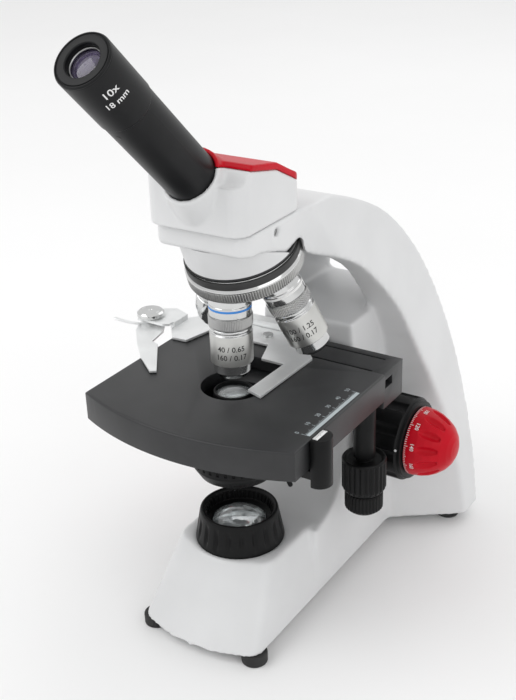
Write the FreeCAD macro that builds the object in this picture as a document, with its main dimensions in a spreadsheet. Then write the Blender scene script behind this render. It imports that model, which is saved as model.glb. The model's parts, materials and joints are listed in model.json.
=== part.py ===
import FreeCAD, Part
import math
import os

import Sketcher
from FreeCAD import Placement, Rotation, Vector

# Monocular student microscope, built in millimetres with +Z up and -Y towards the observer.
# Every length below is measured from the optical axis (X = 0, Y = 0) and the bench (Z = 0);
# the two frame offsets then move the whole instrument so that the origin lies under the
# middle of its bounding box.

SIZES = {
    "frame_offset_x": 5.79, "frame_offset_y": -29.64,
    # stand: nose, arm, column and base
    "nose_half_width": 27.5, "nose_front": 28.0, "plate_front": 23.5, "nose_bottom": 218.5, "nose_top": 229.7,
    "base_bottom": 6.5, "base_top": 47.0, "base_half_width": 37.5, "base_top_half_width": 30.0,
    "base_front": 52.3, "base_top_front": 26.0, "rear_half_width": 76.5, "rear_face": 153.0,
    "column_top": 148.5, "column_front": 74.0, "column_top_half_width": 28.5,
    "handle_half_width": 24.0, "casting_wall": 4.0, "passage_slope": 0.45, "passage_height": 207.0,
    "foot_radius": 7.0, "foot_height": 6.5, "base_plate_thickness": 1.5, "screw_head_radius": 3.2,
    # illuminator
    "collar_bottom": 45.1, "collar_height": 19.3, "collar_bottom_radius": 24.2,
    "collar_top_radius": 21.3, "collar_wall": 4.3, "lamp_lens_radius": 14.5, "lamp_lens_rise": 5.5,
    # focusing
    "focus_axis_y": 85.0, "focus_axis_z": 81.0, "coarse_radius": 24.0, "coarse_length": 24.0,
    "coarse_inner_face": 40.8, "fine_radius": 19.6, "fine_length": 23.4, "knob_gap": 0.5,
    "coarse_shaft_radius": 4.5, "fine_shaft_radius": 2.5, "pinion_radius": 5.8, "running_gap": 0.04,
    "hub_radius": 13.0, "slider_half_width": 11.5, "slider_height": 62.0, "slider_bottom": 66.0,
    # stage
    "stage_top_z": 138.0, "stage_half_width": 62.7, "stage_corner_front": 43.4,
    "stage_front_bow": 57.0, "stage_rear": 47.8, "stage_thickness": 7.0, "skirt_height": 15.6,
    "skirt_wall": 4.0, "aperture_radius": 17.0, "slot_half_width": 14.5, "slot_rear": 33.3, "bar_front": 49.2,
    "bar_rear": 69.4, "bar_half_width": 62.2, "bar_thickness": 7.0, "bar_end_depth": 20.5,
    "lower_plate_half_width": 46.3, "lower_plate_thickness": 8.6, "lower_plate_bottom": 121.6,
    # slide holder
    "holder_thickness": 1.5, "pivot_x": -84.0, "pivot_y": 41.0, "pivot_radius": 8.0,
    # coaxial stage controls
    "control_x": 54.0, "control_y": 42.0, "big_knob_radius": 12.1, "small_knob_radius": 10.5,
    "control_tube_radius": 6.0, "big_knob_bottom": 69.2, "big_knob_top": 89.6,
    "small_knob_bottom": 56.7,
    # condenser
    "condenser_top": 135.6, "condenser_bottom": 86.6, "condenser_ring_radius": 24.6,
    "condenser_radius": 18.9, "condenser_lens_radius": 9.4, "iris_lever_length": 33.0,
    # turret and objectives
    "turret_y": 14.4, "turret_z": 201.5, "turret_tilt": 18.2, "turret_radius": 30.1,
    "grip_height": 8.4, "shoulder_z": 189.4, "objective_radius": 11.1, "thread_radius": 10.1,
    # head and eyepiece
    "head_height": 34.0, "head_bottom": 230.1, "tube_tilt": 44.5, "eyepiece_y": -93.1,
    "eyepiece_z": 321.9, "eyepiece_radius": 13.1, "eyepiece_length": 32.7, "tube_radius": 12.7,
    "tube_bore": 11.6, "tube_length": 76.0, "sleeve_length": 26.0, "head_flange_radius": 20.0,
}

doc = FreeCAD.newDocument("microscope")
sheet = doc.addObject("Spreadsheet::Sheet", "Sizes")
for row, (alias, number) in enumerate(SIZES.items(), start=1):
    sheet.set("A%d" % row, alias)
    sheet.set("B%d" % row, str(number))
    sheet.setAlias("B%d" % row, alias)
doc.recompute()

nodes = []


def size(expression):
    """The number that an expression of sheet cells gives, such as 'stage_rear - 2'."""
    sheet.set("D1", "=" + expression)
    sheet.recompute()
    return float(sheet.get("D1"))


def place(item, x, y, z, rotation=None):
    """Put an item at a point measured from the optical axis and the bench."""
    base = Vector(x + size("frame_offset_x"), y + size("frame_offset_y"), z)
    item.Placement = Placement(base, rotation or Rotation())


def node(item, label):
    item.Label = label
    nodes.append(item)
    return item


def cells(expression):
    """Write an expression of bare aliases as one that names the sheet."""
    words = expression.replace("(", " ( ").replace(")", " ) ").split()
    return " ".join("Sizes." + word if word in SIZES else word for word in words)


def closed_sketch(body, role, corners):
    """A closed outline whose corners are pairs of expressions, bound to the sheet."""
    plane = [item for item in body.Origin.OriginFeatures if item.Role == role][0]
    sketch = body.newObject("Sketcher::SketchObject", body.Name + "_outline")
    sketch.AttachmentSupport = [(plane, "")]
    sketch.MapMode = "FlatFace"
    bound = [(cells(across), cells(along)) for across, along in corners]
    places = [(size(across), size(along)) for across, along in corners]
    for start, end in zip(places, places[1:] + places[:1]):
        sketch.addGeometry(Part.LineSegment(Vector(*start, 0), Vector(*end, 0)))
    count = len(places)
    for index in range(count):
        sketch.addConstraint(Sketcher.Constraint("Coincident", index, 2, (index + 1) % count, 1))
    for index, corner in enumerate(bound):
        for kind, expression, value in zip(("DistanceX", "DistanceY"), corner, places[index]):
            added = sketch.addConstraint(Sketcher.Constraint(kind, -1, 1, index, 1, value))
            sketch.setExpression("Constraints[%d]" % added, expression)
    return sketch


def turned(label, corners, keep=True):
    """A turned piece: corners are (radius, height) expressions about its own Z axis."""
    body = doc.addObject("PartDesign::Body", label)
    sketch = closed_sketch(body, "XZ_Plane", corners)
    turn = body.newObject("PartDesign::Revolution", label + "_turn")
    turn.Profile = sketch
    turn.ReferenceAxis = (sketch, ["V_Axis"])
    turn.Angle = 360
    return node(body, label) if keep else body


def cylinder(name, radius, height, x=0.0, y=0.0, z=0.0, rotation=None):
    item = doc.addObject("Part::Cylinder", name)
    item.setExpression("Radius", cells(radius))
    item.setExpression("Height", cells(height))
    place(item, x, y, z, rotation)
    return item


def block(name, length, width, height, x, y, z, rotation=None):
    item = doc.addObject("Part::Box", name)
    item.setExpression("Length", cells(length))
    item.setExpression("Width", cells(width))
    item.setExpression("Height", cells(height))
    place(item, x, y, z, rotation)
    return item


def cut(label, base, tools, keep=True):
    item = doc.addObject("Part::Cut", label)
    item.Base = base
    if len(tools) == 1:
        item.Tool = tools[0]
    else:
        joined = doc.addObject("Part::MultiFuse", label + "_tools")
        joined.Shapes = tools
        item.Tool = joined
    return node(item, label) if keep else item


def fuse(label, pieces, keep=True):
    item = doc.addObject("Part::MultiFuse", label)
    item.Shapes = pieces
    return node(item, label) if keep else item


def group(label, pieces):
    """Identical fasteners or a matched pair, kept as separate solids in one node."""
    item = doc.addObject("Part::Compound", label)
    item.Links = pieces
    return node(item, label)


def shaped(label, shape):
    """A casting or moulding whose shape comes from Part's own functions."""
    item = doc.addObject("Part::Feature", label)
    item.Shape = shape
    place(item, 0, 0, 0)
    return node(item, label)


def smooth(points):
    curve = Part.BSplineCurve()
    curve.interpolate([Vector(*point) for point in points])
    return curve.toShape()


def line(start, end):
    return Part.makeLine(Vector(*start), Vector(*end))


def polygon_face(points):
    wire = Part.makePolygon([Vector(*point) for point in points + points[:1]])
    return Part.Face(wire)


def rounded_rectangle(half_x, front, rear, height, radius):
    """A horizontal face with rounded corners, from Y = front to Y = rear."""
    box = Part.makeBox(2 * half_x, rear - front, 1, Vector(-half_x, front, height))
    upright = [edge for edge in box.Edges if abs(edge.tangentAt(edge.FirstParameter).z) > 0.9]
    rounded = box.makeFillet(radius, upright)
    bottom = [face for face in rounded.Faces if abs(face.BoundBox.ZMax - height) < 1e-6]
    return bottom[0]


ALONG_X = Rotation(Vector(0, 1, 0), 90)
ALONG_MINUS_X = Rotation(Vector(0, 1, 0), -90)


# ---------------------------------------------------------------- stand casting

def arm_width(height):
    """Half width of the arm between its splayed side faces."""
    top = size("nose_half_width")
    spread = size("rear_half_width") - top
    return top + spread * (238.0 - height) / (238.0 - size("base_bottom"))


def column_width(height):
    bottom = size("base_half_width")
    taper = bottom - size("column_top_half_width")
    rise = size("column_top") - size("base_bottom")
    return bottom - taper * (height - size("base_bottom")) / rise


# The front of the legs, from the nose down to the base, as (Y, Z).
LEG_FRONT = [(39, 201), (57, 193), (72, 183), (82, 173), (96, 156), (107, 135), (112.5, 110),
             (112.5, 76), (110, 37), (106.5, 6.5)]
# The back of the arm, from behind the head down to the base.
ARM_BACK = [(50, 229.7), (66, 224.5), (84, 217), (102, 207), (118, 193), (133, 174), (146, 148),
            (156, 115), (161, 68), (160, 42), (155.5, 15), (153, 6.5)]


def arm_shape():
    low = size("base_bottom")
    front = -size("plate_front")
    under = smooth([(0, -11, size("nose_bottom")), (0, 5, 214), (0, 24, 207), (0, 39, 201)])
    legs = smooth([(0, y, z) for y, z in LEG_FRONT])
    back = smooth([(0, y, z) for y, z in ARM_BACK])
    top = size("nose_top")
    bottom = size("nose_bottom")
    edges = [line((0, front, top), (0, front, bottom)), line((0, front, bottom), (0, -11, bottom)),
             under, legs, line((0, 106.5, low), (0, 153, low)), back,
             line((0, 50, top), (0, front, top))]
    side = Part.Face(Part.Wire(Part.__sortEdges__(edges)))
    side.translate(Vector(-90, 0, 0))
    side = side.extrude(Vector(180, 0, 0))
    wide = arm_width(low)
    narrow = arm_width(238.0)
    front_view = polygon_face([(-wide, -70, low), (wide, -70, low), (narrow, -70, 238),
                               (-narrow, -70, 238)]).extrude(Vector(0, 260, 0))
    half = size("nose_half_width")
    turn = 8.0
    flank = [(half, 20, 0), (32, 39, 0), (37, 52, 0), (45, 73, 0), (62, 92, 0), (92, 104, 0)]
    mirrored = [(-x, y, z) for x, y, z in reversed(flank)]
    plan_edges = [smooth(flank), smooth(mirrored), line((92, 104, 0), (92, 180, 0)),
                  line((92, 180, 0), (-92, 180, 0)), line((-92, 180, 0), (-92, 104, 0)),
                  line((half, 20, 0), (half, front + turn, 0)),
                  line((half - turn, front, 0), (turn - half, front, 0)),
                  line((-half, front + turn, 0), (-half, 20, 0))]
    for hand in (1, -1):
        middle = Vector(hand * (half - turn * 0.293), front + turn * 0.293, 0)
        plan_edges.append(Part.Arc(Vector(hand * half, front + turn, 0), middle,
                                   Vector(hand * (half - turn), front, 0)).toShape())
    plan = Part.Face(Part.Wire(Part.__sortEdges__(plan_edges)))
    plan = plan.extrude(Vector(0, 0, 240))
    return side.common(front_view).common(plan)


def flare_cutter():
    """The hollow in front of each splayed leg, between the column side and the leg's face."""
    levels = [(-2, 27.5), (37, 26.0), (76, 18.5), (105, 8.0), (131, 0.0)]
    fronts = {-2: 106.0, 37: 110.0, 76: 112.5, 105: 112.5, 131: 109.0}
    inner = []
    outer = []
    for height, depth in levels:
        ridge = column_width(height)
        reach = 92.0
        gain = depth * (reach - ridge) / (arm_width(height) - ridge)
        inner.append((ridge, fronts[height], height))
        outer.append((reach, fronts[height] + gain, height))
    first = Part.makePolygon([Vector(*p) for p in inner + [(inner[-1][0], 60, 131),
                             (inner[0][0], 60, -2), inner[0]]])
    second = Part.makePolygon([Vector(*p) for p in outer + [(92, 60, 131), (92, 60, -2),
                              outer[0]]])
    right = Part.makeLoft([first, second], True, True)
    left = right.mirror(Vector(0, 0, 0), Vector(1, 0, 0))
    return right, left


def base_shape():
    low = size("base_bottom")
    high = size("base_top")
    wires = []
    for height, half, nose, corner in ((low, size("base_half_width"), size("base_front"), 10.0),
                                       (high, size("base_top_half_width"),
                                        size("base_top_front"), 13.0)):
        shoulder = nose - 6.0
        a = Vector(-half, -(shoulder - corner), height)
        b = Vector(-(half - corner * 0.8), -shoulder, height)
        c = Vector(half - corner * 0.8, -shoulder, height)
        d = Vector(half, -(shoulder - corner), height)
        knee = corner * 0.32
        left = Part.Arc(a, Vector(a.x + knee * 0.7, b.y + knee, height), b).toShape()
        bow = Part.Arc(b, Vector(0, -nose, height), c).toShape()
        right = Part.Arc(c, Vector(d.x - knee * 0.7, c.y + knee, height), d).toShape()
        rear = 108.0
        back = [Part.makeLine(d, Vector(half, rear, height)),
                Part.makeLine(Vector(half, rear, height), Vector(-half, rear, height)),
                Part.makeLine(Vector(-half, rear, height), a)]
        wires.append(Part.Wire([left, bow, right] + back))
    return Part.makeLoft(wires, True, True)


def column_shape():
    low = size("base_bottom")
    high = size("column_top")
    front = smooth([(0, 22, 46), (0, 36, 49), (0, 50, 60), (0, 61, 80), (0, 70, 104),
                    (0, 74, 130), (0, 74, high)])
    edges = [front, line((0, 74, high), (0, 120, high)), line((0, 120, high), (0, 120, low)),
             line((0, 120, low), (0, 22, low)), line((0, 22, low), (0, 22, 46))]
    side = Part.Face(Part.Wire(Part.__sortEdges__(edges)))
    side.translate(Vector(-60, 0, 0))
    side = side.extrude(Vector(120, 0, 0))
    wide = column_width(low)
    narrow = column_width(high)
    taper = polygon_face([(-wide, 0, low), (wide, 0, low), (narrow, 0, high),
                          (-narrow, 0, high)]).extrude(Vector(0, 140, 0))
    return side.common(taper)


def hand_passage():
    """The carrying opening between the legs, which falls towards the back."""
    half = size("handle_half_width")
    top = size("passage_height")
    floor = size("column_top")
    start = 50.0
    top = top + (55.0 - start) * size("passage_slope")
    spring = top - half * 0.72
    arch = Part.Face(Part.Wire([
        line((-half, start, 60), (half, start, 60)), line((half, start, 60), (half, start, spring)),
        Part.Arc(Vector(half, start, spring), Vector(0, start, top),
                 Vector(-half, start, spring)).toShape(),
        line((-half, start, spring), (-half, start, 60))]))
    run = 130.0
    tunnel = arch.extrude(Vector(0, run, -run * size("passage_slope")))
    above = Part.makeBox(2 * half, run, 120, Vector(-half, start, floor))
    return tunnel.common(above)


def turret_room():
    """The space that the tilted nosepiece and its objectives sweep under the arm."""
    room = Part.makeCylinder(size("turret_radius") + 1.0, 14, Vector(0, 0, -3.4))
    sweep = Part.makeCone(42.0, size("turret_radius") + 1.0, 50, Vector(0, 0, -50))
    pivot = Part.makeCylinder(4.04, 12, Vector(0, 0, 9))
    room = room.fuse(sweep).fuse(pivot)
    room.Placement = Placement(Vector(0, size("turret_y"), size("turret_z")),
                               Rotation(Vector(1, 0, 0), size("turret_tilt")))
    return room


def bay_shape():
    """The electronics bay under the lamp: its front slopes with the base."""
    half = size("base_half_width") - size("casting_wall") - 6.0
    low = size("base_bottom")
    face = polygon_face([(-half, -38, low), (-half, 102, low), (-half, 102, low + 33),
                         (-half, -12, low + 33), (-half, -30, low + 14)])
    return face.extrude(Vector(2 * half, 0, 0))


def stand_shape():
    body = arm_shape()
    for hollow in flare_cutter():
        body = body.cut(hollow)
    body = body.cut(hand_passage())
    body = body.fuse(column_shape()).fuse(base_shape()).removeSplitter()
    low = size("base_bottom")
    rear = 124.0
    hollows = [
        # electronics bay under the lamp, the hollow between the legs, the nosepiece room
        bay_shape(),
        polygon_face([(-52, rear, low), (52, rear, low), (40, rear, 90), (-40, rear, 90)])
        .extrude(Vector(0, 145.5 - rear, 0)),
        turret_room(),
        # focusing chamber, its guide way and the slot in the column's front
        Part.makeBox(44, 34, 88, Vector(-22, 90, 50)),
        Part.makeBox(29, 24, 84, Vector(-14.5, 68, 52)),
        Part.makeBox(25.2, 40, 58, Vector(-12.6, 50, 78)),
        # light path, head socket and lamp opening
        Part.makeCylinder(9, 30, Vector(0, 0, 205)),
        Part.makeCylinder(size("head_flange_radius") + 0.2, 12, Vector(0, 0, 223.5)),
        Part.makeCylinder(17, 20, Vector(0, 0, 34)),
        Part.makeCylinder(size("collar_bottom_radius") + 0.1, 20,
                          Vector(0, 0, size("collar_bottom"))),
        # shaft bores, lock screw hole and the inlet at the back
        Part.makeCylinder(8, 90, Vector(-45, size("focus_axis_y"), size("focus_axis_z")),
                          Vector(1, 0, 0)),
        Part.makeCylinder(2.3, 20, Vector(19, 2.8, 224.6), Vector(1, 0, 0)),
        Part.makeCylinder(5.6, 40, Vector(38, 140, 18), Vector(0, 1, 0)),
        Part.makeBox(19.2, 40, 13.2, Vector(-9.6, 140, 13.4)),
        # dimmer wheel slot in the left side
        Part.makeBox(21, 23, 7, Vector(-47, 12.5, 22)),
    ]
    for hollow in hollows:
        body = body.cut(hollow)
    return body.removeSplitter()


stand = shaped("stand", stand_shape())


def bench_feet():
    places = [(-32, -38), (32, -38), (-62, 140), (62, 140)]
    feet = []
    for index, (x, y) in enumerate(places):
        feet.append(cylinder("foot_%d" % index, "foot_radius", "foot_height", x, y, 0))
    return places, feet


foot_places, feet = bench_feet()
group("rubber_feet", feet)


def base_plate_shape():
    low = size("base_bottom")
    thick = size("base_plate_thickness")
    half = size("base_half_width") - size("casting_wall") - 6.4
    front = Part.makeBox(2 * half, 137, thick, Vector(-half, -35.8, low + 0.6))
    return front


shaped("base_plate", base_plate_shape())
group("base_screws", [cylinder("screw_%d" % index, "screw_head_radius", "1.4", x, y,
                               size("base_bottom") - 0.9)
                      for index, (x, y) in enumerate([(-24, -30), (24, -30), (-24, 90),
                                                      (24, 90)])])

# ---------------------------------------------------------------- illuminator

collar = turned("lamp_collar", [
    ("collar_bottom_radius - collar_wall - 3", "0"), ("collar_bottom_radius", "0"),
    ("collar_bottom_radius", "collar_height * 0.3"), ("collar_top_radius", "collar_height - 1"),
    ("collar_top_radius - 1", "collar_height"),
    ("collar_top_radius - collar_wall + 1", "collar_height"),
    ("lamp_lens_radius + 0.4", "collar_height * 0.62"),
    ("lamp_lens_radius + 0.4", "collar_height * 0.5"),
    ("collar_bottom_radius - collar_wall - 3", "collar_height * 0.5")])
place(collar, 0, 0, size("collar_bottom"))

lens_base = size("collar_bottom + collar_height * 0.5") + 0.05


def plano_convex(radius, edge, rise):
    """A lens: a flat-bottomed disc with a spherical top."""
    sphere_radius = (radius ** 2 + rise ** 2) / (2 * rise)
    disc = Part.makeCylinder(radius, edge + rise)
    ball = Part.makeSphere(sphere_radius, Vector(0, 0, edge + rise - sphere_radius))
    return disc.common(ball)


lens = shaped("collector_lens", plano_convex(size("lamp_lens_radius"), 2.0,
                                             size("lamp_lens_rise")))
place(lens, 0, 0, lens_base)
board = cylinder("led_board", "15", "1.6", 0, 0, 41.0)
node(board, "led_board")
spreader = cut("lamp_heat_sink", cylinder("sink_disc", "16", "5", 0, 0, 35.5),
               [block("sink_slot_%d" % index, "40", "2", "3", -20, -13.0 + 6 * index, 34.5)
                for index in range(5)])
node(block("driver_board", "46", "60", "1.6", -23, 20, 12), "driver_board")
inlet = cut("power_inlet", cylinder("inlet_body", "5.5", "14", 38, 158.2, 18,
                                    Rotation(Vector(1, 0, 0), 90)),
            [cylinder("inlet_bore", "2.75", "10", 38, 159.2, 18, Rotation(Vector(1, 0, 0), 90))])
bezel = cut("switch_bezel", block("bezel_body", "19", "8", "13", -9.5, 150.8, 13.5),
            [block("bezel_bore", "15.4", "12", "9.4", -7.7, 152.8, 15.3)])
rocker = cylinder("rocker_drum", "5.2", "14.8", 7.4, 155.2, 20, ALONG_MINUS_X)
rocker_trim = block("rocker_trim", "18", "12", "8.4", -9, 154.4, 15.8)
common = doc.addObject("Part::Common", "power_rocker")
common.Base = rocker
common.Tool = rocker_trim
node(common, "power_rocker")
dimmer = turned("dimmer_wheel", [("1.6", "0"), ("11", "0"), ("11", "5"), ("1.6", "5")])
place(dimmer, -26.0, 24, 23)

# ---------------------------------------------------------------- focusing block

axis_y = size("focus_axis_y")
axis_z = size("focus_axis_z")
group("focus_guides", [block("guide_%d" % side, "2.6", "9.6", "72", x, 69.5, 53)
                       for side, x in enumerate((-14.4, 11.8))])
group("shaft_bushes", [
    cut("bush_%d" % side, cylinder("bush_body_%d" % side, "7.9", "14", x, axis_y, axis_z, ALONG_X),
        [cylinder("bush_bore_%d" % side, "coarse_shaft_radius + running_gap", "18", x - 2, axis_y,
                  axis_z, ALONG_X)], keep=False)
    for side, x in enumerate((-37.4, 23.4))])

slider = block("focus_slider", "slider_half_width * 2", "7.4", "slider_height",
               -size("slider_half_width"), 70.6, size("slider_bottom"))
node(slider, "focus_slider")


def rack_shape():
    """A straight rack whose teeth face the pinion across the chamber."""
    bottom = size("slider_bottom") + 3
    pitch = 3.0
    teeth = 18
    profile = [(0, 78.05, bottom)]
    for index in range(teeth):
        start = bottom + pitch * index
        profile += [(0, 78.35, start), (0, 79.0, start + 0.9), (0, 79.0, start + 2.1),
                    (0, 78.35, start + pitch)]
    profile += [(0, 78.05, bottom + pitch * teeth)]
    face = polygon_face(profile)
    face.translate(Vector(-4, 0, 0))
    return face.extrude(Vector(8, 0, 0))


shaped("focus_rack", rack_shape())


def toothed_wheel(radius, teeth, length, depth):
    """A spur pinion on the Z axis."""
    points = []
    for index in range(teeth):
        for part, reach in ((0.0, radius - depth), (0.22, radius), (0.5, radius),
                            (0.72, radius - depth)):
            angle = 2 * math.pi * (index + part) / teeth
            points.append((reach * math.cos(angle), reach * math.sin(angle), 0))
    return polygon_face(points).extrude(Vector(0, 0, length))


def coarse_shaft_shape():
    reach = size("coarse_inner_face") + size("coarse_length") - 1.0
    shaft = Part.makeCylinder(size("coarse_shaft_radius"), 2 * reach, Vector(0, 0, -reach))
    pinion = toothed_wheel(size("pinion_radius"), 12, 10, 0.9)
    pinion.translate(Vector(0, 0, -5))
    bore = Part.makeCylinder(size("fine_shaft_radius + running_gap"), 2 * reach + 2,
                             Vector(0, 0, -reach - 1))
    return shaft.fuse(pinion).cut(bore)


coarse_shaft = shaped("coarse_shaft", coarse_shaft_shape())
place(coarse_shaft, 0, axis_y, axis_z, ALONG_X)


def lobed_knob(side):
    """A coarse knob: a lobed grip on a plain flange, bored for its shaft."""
    radius = size("coarse_radius")
    length = size("coarse_length")
    grip = Part.makeCylinder(radius, length - 4, Vector(0, 0, 2))
    grip = grip.makeChamfer(1.0, [edge for edge in grip.Edges
                                  if abs(edge.Length - 2 * math.pi * radius) < 0.1])
    flange = Part.makeCylinder(radius - 1.6, length, Vector(0, 0, 0))
    knob = grip.fuse(flange)
    lobes = 10
    for index in range(lobes):
        angle = 2 * math.pi * (index + 0.5) / lobes
        groove = Part.makeCylinder(5.0, length - 9, Vector((radius + 3.4) * math.cos(angle),
                                                           (radius + 3.4) * math.sin(angle), 6))
        knob = knob.cut(groove)
    hub = Part.makeCylinder(size("hub_radius"), 3.2, Vector(0, 0, -3.2))
    bore = Part.makeCylinder(size("coarse_shaft_radius"), length + 6, Vector(0, 0, -5))
    knob = knob.fuse(hub).cut(bore)
    knob.rotate(Vector(0, 0, 0), Vector(0, 1, 0), 90 * side)
    knob.translate(Vector(side * size("coarse_inner_face"), 0, 0))
    return knob


coarse_knobs = shaped("coarse_knobs", Part.makeCompound([lobed_knob(1), lobed_knob(-1)]))
place(coarse_knobs, 0, axis_y, axis_z)


def fine_knob(side):
    """A fine knob: a graduated rim that swells into a dome with finger hollows."""
    radius = size("fine_radius")
    length = size("fine_length")
    rim_height = 4.5
    centre_height = (length ** 2 - rim_height ** 2 - radius ** 2) / (2 * (length - rim_height))
    dome_radius = length - centre_height
    knob = Part.makeCylinder(radius, length)
    knob = knob.common(Part.makeSphere(dome_radius, Vector(0, 0, centre_height)))
    knob = knob.fuse(Part.makeCylinder(radius, rim_height)).removeSplitter()
    hollows = 12
    for index in range(hollows):
        turn = Rotation(Vector(0, 0, 1), 360.0 * (index + 0.5) / hollows)
        start = turn.multVec(Vector(radius * 1.36, 0, length * 0.22))
        slope = turn.multVec(Vector(-1, 0, 1.0))
        knob = knob.cut(Part.makeCylinder(3.0, 30, start, slope))
    bore = Part.makeCylinder(size("fine_shaft_radius"), length * 0.6, Vector(0, 0, -1))
    knob = knob.cut(bore)
    knob.rotate(Vector(0, 0, 0), Vector(0, 1, 0), 90 * side)
    start = size("coarse_inner_face + coarse_length + knob_gap")
    knob.translate(Vector(side * start, 0, 0))
    return knob


fine_knobs = shaped("fine_knobs", Part.makeCompound([fine_knob(1), fine_knob(-1)]))
place(fine_knobs, 0, axis_y, axis_z)
fine_reach = size("coarse_inner_face + coarse_length + knob_gap + fine_length * 0.5")
node(cylinder("fine_shaft", "fine_shaft_radius",
              "2 * ( coarse_inner_face + coarse_length + knob_gap + fine_length * 0.5 )",
              -fine_reach, axis_y, axis_z, ALONG_X), "fine_shaft")

# ---------------------------------------------------------------- stage

stage_z = size("stage_top_z")


def stage_outline(inset, height, rear):
    """The stage seen from above, with a bowed front edge."""
    half = size("stage_half_width") - inset
    corner = -(size("stage_corner_front") - inset)
    bow = -(size("stage_front_bow") - inset)
    return Part.Face(Part.Wire([
        Part.Arc(Vector(-half, corner, height), Vector(0, bow, height),
                 Vector(half, corner, height)).toShape(),
        line((half, corner, height), (half, rear, height)),
        line((half, rear, height), (-half, rear, height)),
        line((-half, rear, height), (-half, corner, height))]))


def light_slot(height, depth):
    """The light opening: a circle with a slot running back as far as the stage moves."""
    slot = rounded_rectangle(size("slot_half_width"), -6.0, size("slot_rear"), height, 3.0)
    circle = Part.makeCylinder(size("aperture_radius"), depth, Vector(0, 0, height))
    return slot.extrude(Vector(0, 0, depth)).fuse(circle)


def control_pocket():
    """Room for the coaxial controls' pinion and drum beneath the stage plate."""
    bottom = stage_z - size("bar_end_depth") - 1
    return Part.makeCylinder(7.6, stage_z - 2.5 - bottom,
                             Vector(size("control_x"), size("control_y"), bottom))


def stage_top_shape():
    rear = size("stage_rear")
    skirt = size("skirt_height")
    tray = stage_outline(0, stage_z - skirt, rear).extrude(Vector(0, 0, skirt))
    tray = tray.makeFillet(1.2, [edge for edge in tray.Edges
                                 if edge.BoundBox.ZMin > stage_z - 0.1
                                 and edge.BoundBox.YMin < rear - 1])
    inside = stage_outline(size("skirt_wall"), stage_z - skirt - 1, rear + 5)
    tray = tray.cut(inside.extrude(Vector(0, 0, skirt + 1 - size("stage_thickness"))))
    return tray.cut(light_slot(stage_z - 10, 12)).cut(control_pocket())


shaped("stage_top", stage_top_shape())


def guide_bar_shape():
    """The X guide behind the stage plate, joined to it at both ends."""
    half = size("bar_half_width")
    front = size("bar_front")
    rear = size("bar_rear")
    thick = size("bar_thickness")
    bar = Part.makeBox(2 * half, rear - front, thick, Vector(-half, front, stage_z - thick))
    groove = Part.makeBox(2 * half + 2, 1.2, 1.6, Vector(-half - 1, 63.4, stage_z - 1.6))
    bar = bar.cut(groove)
    for side in (-1, 1):
        left = half - 7.5 if side > 0 else -half
        end = Part.makeBox(7.5, rear - size("stage_rear") - 0.02, size("bar_end_depth"),
                           Vector(left, size("stage_rear") + 0.02,
                                  stage_z - size("bar_end_depth")))
        window = Part.makeBox(9, 8, 5, Vector(left - 1, size("stage_rear") + 1.5, stage_z - 9))
        bar = bar.fuse(end).cut(window)
    return bar.cut(control_pocket()).removeSplitter()


shaped("x_guide_bar", guide_bar_shape())

control_x = size("control_x")
control_y = size("control_y")
housing = cut("control_housing", fuse("housing_body", [
    cylinder("housing_tube", "control_tube_radius", "33.8", control_x, control_y, 90.4),
    block("housing_lug", "4.6", "14", "3.6", control_x, control_y - 14.2, 120.6)], keep=False),
    [cylinder("housing_bore", "4 + running_gap", "60", control_x, control_y, 88)])
y_knob = turned("y_knob", [
    ("2.5 + running_gap", "0"), ("big_knob_radius - 1.5", "0"), ("big_knob_radius", "2"),
    ("big_knob_radius", "19.2"), ("big_knob_radius - 1.2", "20.4"), ("4", "20.4"),
    ("4", "55.4"), ("7.2", "55.4"), ("7.2", "60.4"), ("2.5 + running_gap", "60.4")])
place(y_knob, control_x, control_y, size("big_knob_bottom"))
x_knob = turned("x_knob", [
    ("0", "0"), ("small_knob_radius - 2.5", "0"), ("small_knob_radius", "1.6"),
    ("small_knob_radius", "11"), ("small_knob_radius - 1", "12"), ("2.5", "12"),
    ("2.5", "73.6"), ("5.4", "73.6"), ("5.4", "78"), ("0", "78")])
place(x_knob, control_x, control_y, size("small_knob_bottom"))


def lower_plate_shape():
    """The fixed lower stage, with dovetail rails, a control rack and a condenser opening."""
    half = size("lower_plate_half_width")
    bottom = size("lower_plate_bottom")
    thick = size("lower_plate_thickness")
    slab = Part.makeBox(2 * half, 95.4, thick, Vector(-half, -32, bottom))
    slab = slab.cut(Part.makeCylinder(20.0, 30, Vector(0, 0, bottom - 5)))
    for x in (-40.0, 34.0):
        slab = slab.cut(Part.makeBox(6, 100, 2.5, Vector(x, -34, bottom + thick - 2.4)))
    return slab


shaped("stage_base", lower_plate_shape())


def bracket_shape():
    """Carries the lower stage on the focus slider."""
    bottom = size("lower_plate_bottom")
    web = Part.makeBox(23, 6.4, 34, Vector(-11.5, 64.1, 92))
    foot = Part.makeBox(64, 15.5, 6, Vector(-32, 50, bottom - 6.05))
    ribs = [Part.makePolygon([Vector(x, 64.1, bottom - 6), Vector(x, 64.1, bottom - 28),
                              Vector(x, 52, bottom - 6), Vector(x, 64.1, bottom - 6)])
            for x in (-11.5, 7.5)]
    shape = web.fuse(foot)
    for rib in ribs:
        shape = shape.fuse(Part.Face(rib).extrude(Vector(4, 0, 0)))
    keep_below = Part.makeBox(200, 200, 200, Vector(-100, 0, bottom - 0.05 - 200))
    return shape.common(keep_below).removeSplitter()


shaped("stage_bracket", bracket_shape())


def vernier_shape():
    """An arm under the stage's right edge that turns up to the scale."""
    left = 38.0
    inside = 63.6
    radius = 6.4
    centre = Vector(inside + 1.6, -25.0, 113.0)
    arm = Part.makeBox(inside - left + 4, 12, 4.4, Vector(left, centre.y - 6, 117.1))
    post = Part.makeCylinder(radius, 26, centre)
    post = post.common(Part.makeBox(20, 40, 40, Vector(inside, centre.y - 20, 100)))
    return arm.fuse(post).removeSplitter()


shaped("y_vernier", vernier_shape())

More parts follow.
